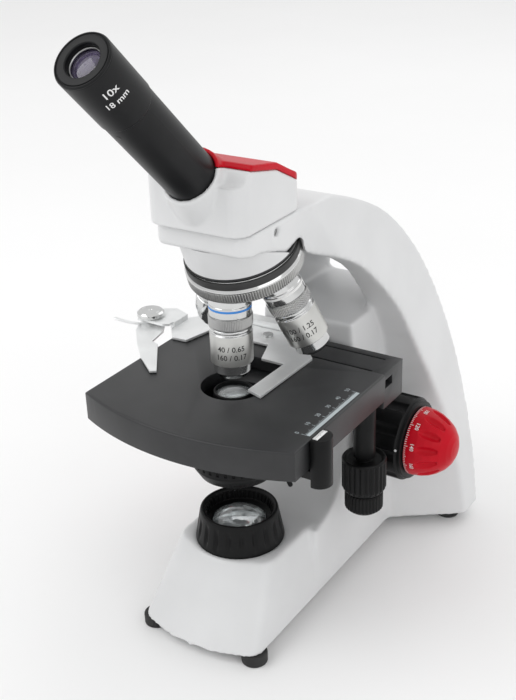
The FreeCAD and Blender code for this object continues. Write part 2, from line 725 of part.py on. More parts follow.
# ---------------------------------------------------------------- slide holder

holder_z = stage_z + 0.35


def holder_plate_shape():
    """The steel plate that holds the slide: a fixed right arm and a left lug."""
    outline = [(11.2, -3.6, 0), (20.6, -6.6, 0), (21.6, 43.5, 0), (12.5, 53, 0), (-6, 64.4, 0),
               (-60, 64.4, 0), (-68.6, 54, 0), (-67.6, 38, 0), (-60.6, 29.2, 0), (-51.3, 29.6, 0),
               (-47.5, 46.5, 0), (-8, 46.5, 0), (-2.2, 30.3, 0), (12, 30.3, 0)]
    thick = size("holder_thickness")
    sheet_metal = polygon_face(outline).extrude(Vector(0, 0, thick))
    holes = [Part.makeCylinder(1.6, thick + 2, Vector(x, 56, -1)) for x in (-30, -14)]
    for hole in holes:
        sheet_metal = sheet_metal.cut(hole)
    lug = polygon_face([(-89, 34.8, 0), (-71.4, 34.9, 0), (-67.9, 36.8, 0), (-68.6, 53.7, 0),
                        (-77.2, 57, 0), (-89, 50, 0)])
    lug.translate(Vector(0, 0, thick + 1.8))
    lug = lug.extrude(Vector(0, 0, thick))
    step = Part.makeBox(3, 13, thick + 1.8 + thick, Vector(-69.6, 40, 0))
    bore = Part.makeCylinder(2.0 + size("running_gap"), 12, Vector(size("pivot_x"),
                                                                   size("pivot_y"), -2))
    return sheet_metal.fuse(step).fuse(lug).cut(bore).removeSplitter()


holder = shaped("slide_holder", holder_plate_shape())
place(holder, 0, 0, holder_z)
node(block("holder_slider", "34", "6.2", "5.2", -39, 64.9, stage_z + 0.3), "holder_slider")
group("holder_screws", [cylinder("holder_screw_%d" % index, "2.8", "1.3", x, 56,
                                 holder_z + size("holder_thickness"))
                        for index, x in enumerate((-30, -14))])


def finger_shape():
    """The sprung claw that presses the slide against the fixed arm."""
    thick = size("holder_thickness")
    outline = [(-89, 36, 0), (-84.5, 27, 0), (-74.4, 14.8, 0), (-61.1, 0.9, 0), (-45.9, -10.9, 0),
               (-42.8, -8.8, 0), (-52, 4, 0), (-62, 17.8, 0), (-67.3, 19.6, 0), (-69.9, 33.6, 0),
               (-76, 44, 0), (-88, 46, 0)]
    blade = polygon_face(outline).extrude(Vector(0, 0, thick))
    bore = Part.makeCylinder(2.0, 10, Vector(size("pivot_x"), size("pivot_y"), -2))
    return blade.cut(bore)


finger = shaped("holder_finger", finger_shape())
place(finger, 0, 0, holder_z + 0.05)


def pivot_cap_shape():
    """The bevelled pivot button and the thin lever that opens the claw."""
    radius = size("pivot_radius")
    centre = Vector(size("pivot_x"), size("pivot_y"), 0)
    button = Part.makeCone(radius, radius - 1.6, 2.4, centre + Vector(0, 0, 1.2))
    button = button.fuse(Part.makeCylinder(radius, 1.2, centre))
    path = Part.Arc(centre + Vector(-4, -1, 1), centre + Vector(-11, 1.6, 1),
                    centre + Vector(-15.5, -5, 1)).toShape()
    section = Part.Wire(Part.makeCircle(0.9, centre + Vector(-4, -1, 1), Vector(-1, 0.5, 0)))
    lever = Part.Wire([path]).makePipeShell([section], True, True)
    drop = size("holder_thickness * 2") + 1.95
    pin = Part.makeCylinder(2.0, drop + 0.5, centre - Vector(0, 0, drop))
    return button.fuse(lever).fuse(pin)


cap = shaped("finger_pivot", pivot_cap_shape())
place(cap, 0, 0, holder_z + 2 * size("holder_thickness") + 2.0)

# ---------------------------------------------------------------- condenser

mount = cut("condenser_mount", cylinder("mount_ring", "30", "5.5", 0, 0, 116.0),
            [cylinder("mount_bore", "condenser_radius + 0.05", "12", 0, 0, 113)])
condenser = turned("condenser_body", [
    ("condenser_lens_radius + 0.1", "condenser_top - condenser_bottom - 4"),
    ("condenser_lens_radius + 0.1", "condenser_top - condenser_bottom"),
    ("condenser_lens_radius + 0.9", "condenser_top - condenser_bottom"),
    ("condenser_lens_radius + 1.3", "condenser_top - condenser_bottom - 0.8"),
    ("condenser_lens_radius + 1.3", "condenser_top - condenser_bottom - 6.2"),
    ("condenser_radius", "condenser_top - condenser_bottom - 14"),
    ("condenser_radius", "17.2"), ("17.5", "17.2"), ("17.5", "8.6"), ("23.8", "8.6"),
    ("23.8", "7.4"), ("20.4", "1.6"), ("19", "0.6"), ("13.4", "0"), ("11.4", "0"), ("11.4", "36")])
place(condenser, 0, 0, size("condenser_bottom"))
top_lens = shaped("condenser_lens", plano_convex(size("condenser_lens_radius"), 1.6, 1.8))
place(top_lens, 0, 0, size("condenser_top") - 4)


def iris_shape():
    """The ribbed iris ring and its lever, which turn about the optical axis."""
    outer = size("condenser_ring_radius")
    ring = Part.makeCylinder(outer, 7.8)
    for index in range(36):
        angle = 2 * math.pi * index / 36
        ring = ring.cut(Part.makeCylinder(0.8, 5.4, Vector((outer + 0.25) * math.cos(angle),
                                                           (outer + 0.25) * math.sin(angle), 1.2)))
    ring = ring.cut(Part.makeCylinder(17.5 + size("running_gap"), 12, Vector(0, 0, -2)))
    reach = size("iris_lever_length")
    bend = Vector(reach - 5.5, 0, 2.4)
    tip = Vector(reach, 0, -7.5)
    rod = Part.makeCylinder(1.25, reach - 25.5, Vector(20, 0, 2.4), Vector(1, 0, 0))
    elbow = Part.makeSphere(1.25, bend)
    drop = Part.makeCylinder(1.25, (tip - bend).Length, bend, tip - bend)
    lever = ring.fuse(rod).fuse(elbow).fuse(drop).fuse(Part.makeSphere(1.25, tip))
    lever.rotate(Vector(0, 0, 0), Vector(0, 0, 1), 234)
    return lever


iris = shaped("iris_ring", iris_shape())
place(iris, 0, 0, size("condenser_bottom") + 9.0)

# ---------------------------------------------------------------- turret and objectives

turret_origin = Vector(0, size("turret_y"), size("turret_z"))
tilt = Rotation(Vector(1, 0, 0), size("turret_tilt"))
turret_axis = tilt.multVec(Vector(0, 0, 1))
apex = size("turret_y / sin( turret_tilt * 1 deg )")
shoulder = (Vector(0, 0, size("shoulder_z")) - Vector(0, 0, 0))
seat_depth = (turret_origin + turret_axis * apex - shoulder).Length


def on_turret(item, height=0.0):
    spot = turret_origin + turret_axis * height
    place(item, spot.x, spot.y, spot.z, tilt)


def objective_frame(turn):
    """Place of an objective's shoulder after the turret has turned by an angle."""
    spin = Rotation(turret_axis, turn)
    spot = turret_origin + spin.multVec(shoulder - turret_origin)
    return spot, spin


def turret_disc_shape():
    """The chromed disc: a shallow cone with four threaded seats."""
    lift = size("turret_tilt")
    slope = math.tan(math.radians(lift))
    radius = size("turret_radius") - 1.4
    profile = [(4.04, 0, 9.0), (radius, 0, 9.0), (radius, 0, -2.0), (7, 0, -2.0 - (radius - 7)
               * slope), (4.04, 0, -2.0 - (radius - 7) * slope)]
    disc = polygon_face(profile).revolve(Vector(0, 0, 0), Vector(0, 0, 1), 360)
    top = Vector(0, 0, apex)
    for index in range(4):
        direction = Rotation(Vector(0, 0, 1), 90 * index).multVec(
            Rotation(Vector(1, 0, 0), -lift).multVec(Vector(0, 0, -1)))
        boss = Part.makeCylinder(12.2, 8, top + direction * (seat_depth - 8), direction)
        bore = Part.makeCylinder(size("thread_radius") + 0.06, 24,
                                 top + direction * (seat_depth - 20), direction)
        disc = disc.fuse(boss)
        disc = disc.cut(bore)
    trim = Part.makeBox(100, 100, 50, Vector(-50, -50, 9.0))
    pivot = Part.makeCylinder(4.04, 40, Vector(0, 0, -20))
    return disc.cut(trim).cut(pivot).removeSplitter()


disc = shaped("turret_disc", turret_disc_shape())
on_turret(disc)
grip = turned("turret_grip", [
    ("turret_radius - 1.35", "0"), ("turret_radius", "0.6"), ("turret_radius", "grip_height - 2"),
    ("turret_radius - 0.8", "grip_height"), ("turret_radius - 1.35", "grip_height")])
on_turret(grip)
race = turned("turret_race", [("21", "9.4"), ("28.4", "9.4"), ("28.4", "10.6"), ("21", "10.6")])
on_turret(race)


def cone_shape():
    """The white fixed cone that joins the nose to the turret."""
    cone = Part.makeCone(28.6, 30.2, 30, Vector(0, 0, 10.8))
    light = Part.makeCylinder(7, 80, Vector(0, 0, apex), Rotation(
        Vector(1, 0, 0), -size("turret_tilt")).multVec(Vector(0, 0, -1)))
    cavity = Part.makeCylinder(24, 30, Vector(0, 0, 16.5))
    pivot = Part.makeCylinder(4.04, 20, Vector(0, 0, 5))
    cone = cone.cut(cavity).cut(light).cut(pivot)
    cone.Placement = Placement(turret_origin, tilt)
    return cone.cut(stand_cover())


def stand_cover():
    """Everything above the underside of the nose and arm."""
    under = smooth([(-60, -11, size("nose_bottom")), (-60, 5, 214), (-60, 24, 207),
                    (-60, 39, 201)])
    face = Part.Face(Part.Wire(Part.__sortEdges__([
        under, line((-60, 39, 201), (-60, 60, 192)), line((-60, 60, 192), (-60, 60, 300)),
        line((-60, 60, 300), (-60, -60, 300)), line((-60, -60, 300),
                                                    (-60, -60, size("nose_bottom"))),
        line((-60, -60, size("nose_bottom")), (-60, -11, size("nose_bottom")))])))
    return face.extrude(Vector(120, 0, 0))


cone = shaped("nosepiece_cone", cone_shape())
bolt = turned("turret_bolt", [("0", "-11.6"), ("5.2", "-11.6"), ("5.2", "-9.4"), ("4", "-9.4"),
                              ("4", "20"), ("0", "20")])
on_turret(bolt)


def objective(label, length, tip_radius, turn):
    """A chromed objective: thread, collar, colour band, knurl, barrel and tapered tip."""
    drop = -length
    corners = [("5.2", "4.4"), ("thread_radius", "4.4"), ("thread_radius", "0"),
               ("objective_radius - 0.4", "0"), ("objective_radius - 0.4", "-3.6"),
               ("objective_radius", "-4.4"), ("objective_radius", "-8.4"),
               ("objective_radius + 0.3", "-8.6"), ("objective_radius + 0.3", "-13.8"),
               ("objective_radius - 0.5", "-14")]
    if length > 30:
        corners += [("objective_radius - 0.5", "-17"), ("objective_radius", "-17.2"),
                    ("objective_radius", "%f" % (drop + 10)),
                    ("objective_radius - 1.2", "%f" % (drop + 9.4)),
                    ("objective_radius - 1.2", "%f" % (drop + 5))]
    else:
        corners += [("objective_radius - 0.5", "%f" % (drop + 5))]
    corners += [("%f" % tip_radius, "%f" % drop), ("%f" % (tip_radius - 3), "%f" % drop),
                ("%f" % (tip_radius - 3), "%f" % (drop + 3)), ("5.2", "%f" % (drop + 3))]
    item = turned(label, corners)
    spot, spin = objective_frame(turn)
    place(item, spot.x, spot.y, spot.z, spin)
    return item


OBJECTIVES = (("objective_40x", 44.3, 7.7, 0), ("objective_100x", 44.6, 7.0, 90),
              ("objective_4x", 26.0, 9.6, 180), ("objective_10x", 37.6, 8.6, -90))
glass = []
for name, length, tip_radius, turn in OBJECTIVES:
    objective(name, length, tip_radius, turn)
    spot, spin = objective_frame(turn)
    centre = spot + spin.multVec(Vector(0, 0, -length + 0.5))
    front_glass = cylinder(name + "_glass", "%f" % (tip_radius - 3.0), "2.4")
    place(front_glass, centre.x, centre.y, centre.z, spin)
    glass.append(front_glass)
group("objective_lenses", glass)

# ---------------------------------------------------------------- head and eyepiece

head_z = size("head_bottom")
tube_turn = Rotation(Vector(1, 0, 0), 90 - size("tube_tilt"))
tube_up = tube_turn.multVec(Vector(0, 0, 1))
eye_point = Vector(0, size("eyepiece_y"), size("eyepiece_z"))


def on_tube(item, depth):
    spot = eye_point - tube_up * depth
    place(item, spot.x, spot.y, spot.z, tube_turn)


flange = turned("head_flange", [
    ("9.2", "0"), ("head_flange_radius - 1.6", "0"), ("head_flange_radius", "1.6"),
    ("head_flange_radius", "6.2"), ("9.2", "6.2")])
place(flange, 0, 0, 223.85)
node(cylinder("head_lock_screw", "2.2", "5", 20.6, 2.8, 224.6, ALONG_X), "head_lock_screw")


def head_solid():
    """The head's outer form: a rounded box under a roof that falls to the back."""
    half = size("nose_half_width")
    front = -size("nose_front")
    foot = rounded_rectangle(half, front, 27.0, head_z, 8.0)
    box = foot.extrude(Vector(0, 0, size("head_height")))
    roof = polygon_face([(-40, -50, 262), (-40, -16, 262.5), (-40, 4, 258.5), (-40, 16, 252.0),
                         (-40, 40, 240), (-40, 40, 300), (-40, -50, 300)])
    box = box.cut(roof.extrude(Vector(80, 0, 0)))
    chin = polygon_face([(-40, -60, 254), (-40, -24, 254), (-40, -16, 264), (-40, -16, 300),
                         (-40, -60, 300)])
    box = box.cut(chin.extrude(Vector(80, 0, 0)))
    socket = Part.makeCone(18.5, 14.6, 19, eye_point - tube_up * 111.0, tube_up)
    trim = Part.makeBox(200, 200, 100, Vector(-100, -100, head_z - 100))
    trim_sides = Part.makeBox(2 * half, 200, 200, Vector(-half, -100, 100))
    return box.fuse(socket).cut(trim).common(trim_sides)


def cap_zone():
    """The upper layer of the head that the red cap fills."""
    zone = polygon_face([(-40, -26, 300), (-40, -26, 262.0), (-40, -14, 259.0),
                         (-40, 4, 255.0), (-40, 16, 248.6), (-40, 29, 241.6), (-40, 29, 300)])
    return zone.extrude(Vector(80, 0, 0))


tube_clear = Part.makeCylinder(size("tube_radius") + 0.05, 90, eye_point - tube_up * 109.0,
                               tube_up)
whole_head = head_solid()
cap_body = whole_head.common(cap_zone()).cut(tube_clear)
cap_keep = [solid for solid in cap_body.Solids if solid.Volume > 500]
shaped("red_cap", cap_keep[0])
gap = cap_zone()
gap.translate(Vector(0, 0, -0.05))
light_well = Part.makeCylinder(12, 22, Vector(0, 0, head_z - 2))
prism_room = Part.makeBox(30, 30, 16, Vector(-15, -13, head_z + 2))
head_shell = whole_head.cut(gap).cut(tube_clear).cut(light_well).cut(prism_room)
shaped("head_housing", max(head_shell.Solids, key=lambda solid: solid.Volume))


def prism_shape():
    """The 45 degree prism that turns the light into the inclined tube."""
    low = head_z + 2.2
    face = polygon_face([(-8, -9, low), (-8, 9, low), (-8, 11.5, low + 8), (-8, -9, low + 13)])
    return face.extrude(Vector(16, 0, 0))


shaped("head_prism", prism_shape())
tube = turned("eyepiece_tube", [
    ("tube_bore + running_gap", "0"), ("tube_radius", "0"), ("tube_radius", "tube_length"),
    ("tube_bore + running_gap", "tube_length")])
on_tube(tube, size("eyepiece_length + tube_length") + 0.3)
node(cylinder("tube_grub_screw", "1.4", "1.0"), "tube_grub_screw")
screw_spot = eye_point - tube_up * 42.0 + Vector(size("tube_radius") + 0.02, 0, 0)
place(nodes[-1], screw_spot.x, screw_spot.y, screw_spot.z, ALONG_X)

barrel = turned("eyepiece_barrel", [
    ("eyepiece_radius - 3.2", "0"), ("tube_bore", "0"), ("tube_bore", "sleeve_length"),
    ("eyepiece_radius", "sleeve_length"),
    ("eyepiece_radius", "sleeve_length + eyepiece_length - 3.2"),
    ("eyepiece_radius - 3.2", "sleeve_length + eyepiece_length - 3.2")])
on_tube(barrel, size("sleeve_length + eyepiece_length"))
rim = turned("eyepiece_rim", [
    ("8", "0"), ("eyepiece_radius", "0"), ("eyepiece_radius", "2.4"),
    ("eyepiece_radius - 0.8", "3.1"), ("eyepiece_radius - 3", "3.1"),
    ("eyepiece_radius - 5", "1.8"), ("8", "1.8")])
on_tube(rim, 3.15)
eye_lens = shaped("eye_lens", plano_convex(7.9, 1.2, 1.6))
on_tube(eye_lens, 6.4)
field_lens = shaped("field_lens", plano_convex(9.6, 1.6, 2.0))
on_tube(field_lens, 50.0)

# ---------------------------------------------------------------- check and export

doc.recompute()
failed = [item.Name for item in doc.Objects if "Invalid" in item.State or "Error" in item.State]
if failed:
    raise RuntimeError("objects left in error: " + ", ".join(failed))
os.makedirs("parts", exist_ok=True)
low = Vector(1e9, 1e9, 1e9)
high = Vector(-1e9, -1e9, -1e9)
for item in nodes:
    shape = item.Shape
    if shape.isNull() or not shape.isValid() or not shape.Solids:
        raise RuntimeError("bad shape: " + item.Label)
    box = shape.optimalBoundingBox()
    low = Vector(min(low.x, box.XMin), min(low.y, box.YMin), min(low.z, box.ZMin))
    high = Vector(max(high.x, box.XMax), max(high.y, box.YMax), max(high.z, box.ZMax))
    shape.exportStep("parts/%s.step" % item.Label)
    print("%-18s %2d solids %9.0f mm3" % (item.Label, len(shape.Solids), shape.Volume))
print("nodes", len(nodes))
print("box", [round(v, 2) for v in low], [round(v, 2) for v in high])
print("middle", round((low.x + high.x) / 2, 3), round((low.y + high.y) / 2, 3))
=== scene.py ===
import json
import math

import bmesh
import bpy
from mathutils import Matrix, Vector


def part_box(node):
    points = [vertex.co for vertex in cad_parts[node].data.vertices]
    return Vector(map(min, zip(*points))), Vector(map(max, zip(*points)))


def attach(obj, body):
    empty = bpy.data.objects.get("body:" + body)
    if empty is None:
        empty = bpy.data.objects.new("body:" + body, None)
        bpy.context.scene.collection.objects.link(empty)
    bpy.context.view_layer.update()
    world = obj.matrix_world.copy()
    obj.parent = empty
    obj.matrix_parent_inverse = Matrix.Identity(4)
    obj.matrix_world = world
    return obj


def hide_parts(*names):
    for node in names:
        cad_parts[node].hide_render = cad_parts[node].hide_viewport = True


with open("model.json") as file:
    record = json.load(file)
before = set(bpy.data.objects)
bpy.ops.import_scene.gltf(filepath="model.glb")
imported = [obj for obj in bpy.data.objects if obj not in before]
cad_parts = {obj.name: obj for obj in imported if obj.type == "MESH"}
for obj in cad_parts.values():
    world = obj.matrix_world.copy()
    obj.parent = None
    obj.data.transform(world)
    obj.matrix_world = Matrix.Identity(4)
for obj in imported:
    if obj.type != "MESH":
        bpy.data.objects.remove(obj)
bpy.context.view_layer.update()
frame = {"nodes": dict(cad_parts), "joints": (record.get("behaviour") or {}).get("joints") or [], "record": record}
scene = bpy.context.scene
nodes = frame["nodes"]
joints = {joint["name"]: joint for joint in frame["joints"]}
MM = 0.001
INK_WEIGHT = 0.05        # extra half stroke of the barrels' numerals, in millimetres
INK_STAND_OFF = 0.05     # ink above the surface that carries it, in millimetres


def middle(node):
    low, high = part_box(node)
    return (low + high) / 2


# The optical axis stands at the middle of the lamp collar.
AXIS = middle("lamp_collar")


def at(x, y, z):
    """A point in millimetres from the optical axis and the bench, in the frame's metres."""
    return Vector((AXIS.x + x * MM, AXIS.y + y * MM, z * MM))


# ------------------------------------------------------------------ camera, light and floor

CAMERA_PLACE = (302.95, -435.45, 411.49)
CAMERA_TURN = (33.4, 25.6, -2.0)         # yaw, pitch down and roll, in degrees
CAMERA_LENS = 59.6
CAMERA_SENSOR = 36.0
CAMERA_NEAR = 0.02


def add_camera():
    """A camera that looks down at the object from its right front."""
    yaw, pitch, roll = (math.radians(angle) for angle in CAMERA_TURN)
    forward = Vector((-math.sin(yaw) * math.cos(pitch), math.cos(yaw) * math.cos(pitch),
                      -math.sin(pitch)))
    level = Vector((math.cos(yaw), math.sin(yaw), 0))
    upright = level.cross(forward)
    right = level * math.cos(roll) + upright * math.sin(roll)
    up = upright * math.cos(roll) - level * math.sin(roll)
    camera = bpy.data.objects.new("camera", bpy.data.cameras.new("camera"))
    camera.matrix_world = Matrix.Translation(at(*CAMERA_PLACE)) @ Matrix(
        (right, up, -forward)).transposed().to_4x4()
    camera.data.lens = CAMERA_LENS
    camera.data.sensor_width = CAMERA_SENSOR
    camera.data.clip_start = CAMERA_NEAR
    scene.collection.objects.link(camera)
    scene.camera = camera


def add_light(name, place, aim, width, energy):
    """A soft white area light, four fifths as tall as it is wide."""
    light = bpy.data.lights.new(name, "AREA")
    light.shape = "RECTANGLE"
    light.size = width
    light.size_y = width * 0.8
    light.energy = energy
    holder = bpy.data.objects.new(name, light)
    holder.location = place
    holder.rotation_euler = (aim - place).to_track_quat("-Z", "Y").to_euler()
    scene.collection.objects.link(holder)


def noise_factor(tree, scale, detail=4.0, stretch=(1, 1, 1)):
    """A noise texture in the object's own space, in metres."""
    source = tree.nodes.new("ShaderNodeTexCoord")
    mapping = tree.nodes.new("ShaderNodeMapping")
    mapping.inputs["Scale"].default_value = stretch
    texture = tree.nodes.new("ShaderNodeTexNoise")
    texture.inputs["Scale"].default_value = scale
    texture.inputs["Detail"].default_value = detail
    tree.links.new(source.outputs["Object"], mapping.inputs["Vector"])
    tree.links.new(mapping.outputs["Vector"], texture.inputs["Vector"])
    return texture.outputs["Fac"]


RAMP_START = 0.35
RAMP_END = 0.65


def ramp(tree, factor, low, high):
    """One colour running into another over the middle of a noise."""
    item = tree.nodes.new("ShaderNodeValToRGB")
    item.color_ramp.elements[0].position = RAMP_START
    item.color_ramp.elements[1].position = RAMP_END
    item.color_ramp.elements[0].color = (*low, 1)
    item.color_ramp.elements[1].color = (*high, 1)
    tree.links.new(factor, item.inputs["Fac"])
    return item.outputs["Color"]


GRAIN_DEPTH = 0.0001
COAT_ROUGHNESS = 0.12
LEAST_ROUGHNESS = 0.02


def material(name, colour, other, roughness, metallic=0.0, mottle=60.0, grain=1500.0, bump=0.05,
             stretch=(1, 1, 1), coat=0.0, specular=0.5, rough_spread=0.05):
    """A surface with slow colour change, uneven gloss and a fine grain."""
    item = bpy.data.materials.new(name)
    item.use_nodes = True
    tree = item.node_tree
    shader = tree.nodes["Principled BSDF"]
    tone = ramp(tree, noise_factor(tree, mottle, 5.0), colour, other)
    tree.links.new(tone, shader.inputs["Base Color"])
    shader.inputs["Metallic"].default_value = metallic
    shader.inputs["Coat Weight"].default_value = coat
    shader.inputs["Coat Roughness"].default_value = COAT_ROUGHNESS
    shader.inputs["Specular IOR Level"].default_value = specular
    fine = noise_factor(tree, grain, 3.0, stretch)
    low = max(roughness - rough_spread, LEAST_ROUGHNESS)
    high = roughness + rough_spread
    gloss = tree.nodes.new("ShaderNodeMapRange")
    gloss.inputs["To Min"].default_value = low
    gloss.inputs["To Max"].default_value = high
    tree.links.new(fine, gloss.inputs["Value"])
    tree.links.new(gloss.outputs["Result"], shader.inputs["Roughness"])
    relief = tree.nodes.new("ShaderNodeBump")
    relief.inputs["Strength"].default_value = bump
    relief.inputs["Distance"].default_value = GRAIN_DEPTH
    tree.links.new(fine, relief.inputs["Height"])
    tree.links.new(relief.outputs["Normal"], shader.inputs["Normal"])
    return item


GLASS_ROUGHNESS = 0.03
GLASS_INDEX = 1.5


def glass_material(name, tint):
    """Clear glass with a faint uneven tint and a reflective coating."""
    item = bpy.data.materials.new(name)
    item.use_nodes = True
    tree = item.node_tree
    shader = tree.nodes["Principled BSDF"]
    shader.inputs["Transmission Weight"].default_value = 0.85
    shader.inputs["IOR"].default_value = GLASS_INDEX
    shader.inputs["Coat Weight"].default_value = 0.4
    tone = ramp(tree, noise_factor(tree, 120.0), tint, tuple(part * 0.92 for part in tint))
    tree.links.new(tone, shader.inputs["Base Color"])
    shader.inputs["Roughness"].default_value = GLASS_ROUGHNESS
    return item


WHITE = material("white_enamel_paint", (0.66, 0.665, 0.67), (0.70, 0.705, 0.71), 0.36, mottle=25,
                 grain=900, bump=0.10, coat=0.12)
BLACK = material("black_lacquer_paint", (0.012, 0.0125, 0.0135), (0.018, 0.0185, 0.020), 0.42,
                 grain=2600, bump=0.35, specular=0.50)
TUBE_BLACK = material("black_anodised_tube", (0.004, 0.0042, 0.005), (0.007, 0.0073, 0.008), 0.38,
                      grain=2400, bump=0.15, specular=0.22)
PLASTIC = material("black_moulding", (0.004, 0.0042, 0.0045), (0.007, 0.0072, 0.0075), 0.40,
                   grain=3200, bump=0.35, specular=0.16)
RED = material("red_moulding", (0.47, 0.003, 0.012), (0.54, 0.004, 0.016), 0.34, mottle=45,
               grain=1800, bump=0.06, specular=0.13)
CHROME = material("bright_chrome", (0.58, 0.585, 0.585), (0.66, 0.665, 0.66), 0.13, 1.0,
                  grain=2500, bump=0.03, rough_spread=0.03)
KNURLED = material("knurled_chrome", (0.42, 0.42, 0.42), (0.52, 0.52, 0.51), 0.30, 1.0,
                   grain=900, bump=0.10, rough_spread=0.06)
SATIN_SLEEVE = material("satin_sleeve", (0.60, 0.60, 0.58), (0.67, 0.67, 0.65), 0.36, 1.0,
                        grain=900, bump=0.1, stretch=(0.2, 0.2, 12), rough_spread=0.05)
STEEL = material("brushed_sheet_steel", (0.82, 0.83, 0.83), (0.88, 0.89, 0.89), 0.40, 0.62,
                 grain=700, bump=0.12, stretch=(0.4, 10, 1), rough_spread=0.08)
DARK_STEEL = material("machined_steel", (0.34, 0.34, 0.34), (0.44, 0.44, 0.44), 0.34, 1.0)
ALUMINIUM = material("machined_aluminium", (0.66, 0.67, 0.68), (0.74, 0.75, 0.76), 0.30, 1.0)
BRONZE = material("sintered_bronze", (0.42, 0.27, 0.11), (0.52, 0.34, 0.15), 0.42, 1.0)
RUBBER = material("foot_rubber_compound", (0.010, 0.010, 0.010), (0.022, 0.022, 0.022), 0.68,
                  grain=2400, bump=0.4)
BOARD = material("green_board", (0.010, 0.09, 0.04), (0.015, 0.12, 0.06), 0.4)
BLUE = material("blue_band", (0.02, 0.20, 0.62), (0.03, 0.25, 0.70), 0.24, coat=0.3)
YELLOW = material("yellow_band", (0.75, 0.48, 0.02), (0.80, 0.55, 0.03), 0.26, coat=0.3)
PALE_BAND = material("white_band", (0.75, 0.75, 0.74), (0.82, 0.82, 0.81), 0.3)
INK_WHITE = material("white_ink", (0.72, 0.72, 0.72), (0.80, 0.80, 0.80), 0.5, bump=0.1)
SCALE_INK = material("grey_scale_ink", (0.40, 0.45, 0.47), (0.46, 0.51, 0.53), 0.5, bump=0.1)
# Black print for numerals and lines, and the painted shade of the gap ring under the nosepiece grip.
BLACK_INK_AND_SHADE = material("black_ink_and_painted_shade", (0.015, 0.015, 0.015), (0.03, 0.03, 0.03), 0.5, bump=0.1)
GLASS = glass_material("optical_glass_clear", (0.93, 0.97, 0.98))
COATED = glass_material("coated_eye_glass", (0.30, 0.25, 0.42))

NODE_MATERIALS = {
    "white_enamel": WHITE, "black_lacquer": BLACK, "black_plastic": PLASTIC, "red_plastic": RED,
    "chrome_plate": CHROME, "knurled_steel": DARK_STEEL, "bronze": BRONZE,
    "aluminium": ALUMINIUM, "optical_glass": GLASS, "circuit_board": BOARD,
    "foot_rubber": RUBBER,
}


def dress(target, finish):
    """Gives every face of an object one finish."""
    if not target.data.materials:
        target.data.materials.append(finish)
    for index in range(len(target.data.materials)):
        target.data.materials[index] = finish
    for holder in target.material_slots:
        holder.material = finish


for entry in frame["record"]["subparts"]:
    dress(nodes[entry["node"]], NODE_MATERIALS[entry["material_slot"]])
for name, finish in (("slide_holder", STEEL), ("holder_finger", STEEL), ("holder_slider", STEEL),
                     ("eye_lens", COATED), ("turret_disc", CHROME),
                     ("eyepiece_tube", TUBE_BLACK)):
    dress(nodes[name], finish)

BODY_OF = {node: body for body, members in frame["record"]["behaviour"]["bodies"].items()
           for node in members}


# ------------------------------------------------------------------ making pieces

WELD = 2e-6
FLAT_ANGLE = 0.8
EDGE_STEPS = 3
EDGE_ANGLE = 28
CORNER_STEPS = 3


def add_piece(name, mesh, finish, body, matrix=None, crease=32):
    """A new object that rides on a body; creases sharper than an angle in degrees stay crisp."""
    mesh.shade_smooth()
    mesh.set_sharp_from_angle(angle=math.radians(crease))
    item = bpy.data.objects.new(name, mesh)
    scene.collection.objects.link(item)
    if matrix is not None:
        item.matrix_world = matrix
    dress(item, finish)
    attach(item, body)
    return item


def evaluated_copy(item):
    """An object's mesh after its modifiers."""
    graph = bpy.context.evaluated_depsgraph_get()
    graph.update()
    return bpy.data.meshes.new_from_object(item.evaluated_get(graph))


def working_copy(node):
    """A throwaway copy of a CAD node, its doubled corners welded."""
    copy = bpy.data.objects.new("work", nodes[node].data.copy())
    scene.collection.objects.link(copy)
    welded = bmesh.new()
    welded.from_mesh(copy.data)
    bmesh.ops.remove_doubles(welded, verts=welded.verts, dist=WELD)
    welded.to_mesh(copy.data)
    welded.free()
    return copy


def softened(name, node, width, finish):
    """A CAD node's shape again, with its edges rounded, in place of that node."""
    copy = working_copy(node)
    flat = bmesh.new()
    flat.from_mesh(copy.data)
    bmesh.ops.dissolve_limit(flat, angle_limit=math.radians(FLAT_ANGLE), verts=flat.verts,
                             edges=flat.edges)
    flat.to_mesh(copy.data)
    flat.free()
    bevel = copy.modifiers.new("edge", "BEVEL")
    bevel.width = width * MM
    bevel.segments = EDGE_STEPS
    bevel.angle_limit = math.radians(EDGE_ANGLE)
    bevel.harden_normals = False
    mesh = evaluated_copy(copy)
    bpy.data.objects.remove(copy)
    item = add_piece(name, mesh, finish, BODY_OF[node])
    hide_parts(node)


def cast_skin(name, node, voxel, passes, finish, weight=None):
    """A casting's skin: the CAD shape with every crease run out softly."""
    copy = working_copy(node)
    remesh = copy.modifiers.new("even", "REMESH")
    remesh.mode = "VOXEL"
    remesh.voxel_size = voxel * MM
    even = evaluated_copy(copy)
    copy.modifiers.clear()
    copy.data = even
    if weight:
        group = copy.vertex_groups.new(name="soft")
        for vertex in even.vertices:
            group.add([vertex.index], weight(vertex.co), "REPLACE")
    smooth = copy.modifiers.new("soft", "SMOOTH")
    smooth.factor = 0.5
    smooth.iterations = passes
    if weight:
        smooth.vertex_group = "soft"
    mesh = evaluated_copy(copy)
    bpy.data.objects.remove(copy)
    item = add_piece(name, mesh, finish, BODY_OF[node], crease=60)
    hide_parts(node)


def rounded(profile, radius):
    """A profile whose corners are run round."""
    result = [profile[0]]
    for before, corner, after in zip(profile, profile[1:], profile[2:]):
        a, b, c = Vector(before), Vector(corner), Vector(after)
        reach = min(radius, (a - b).length * 0.4, (c - b).length * 0.4)
        start = b + (a - b).normalized() * reach
        end = b + (c - b).normalized() * reach
        for step in range(CORNER_STEPS + 1):
            t = step / CORNER_STEPS
            result.append(tuple((1 - t) ** 2 * start + 2 * t * (1 - t) * b + t * t * end))
    result.append(profile[-1])
    return result


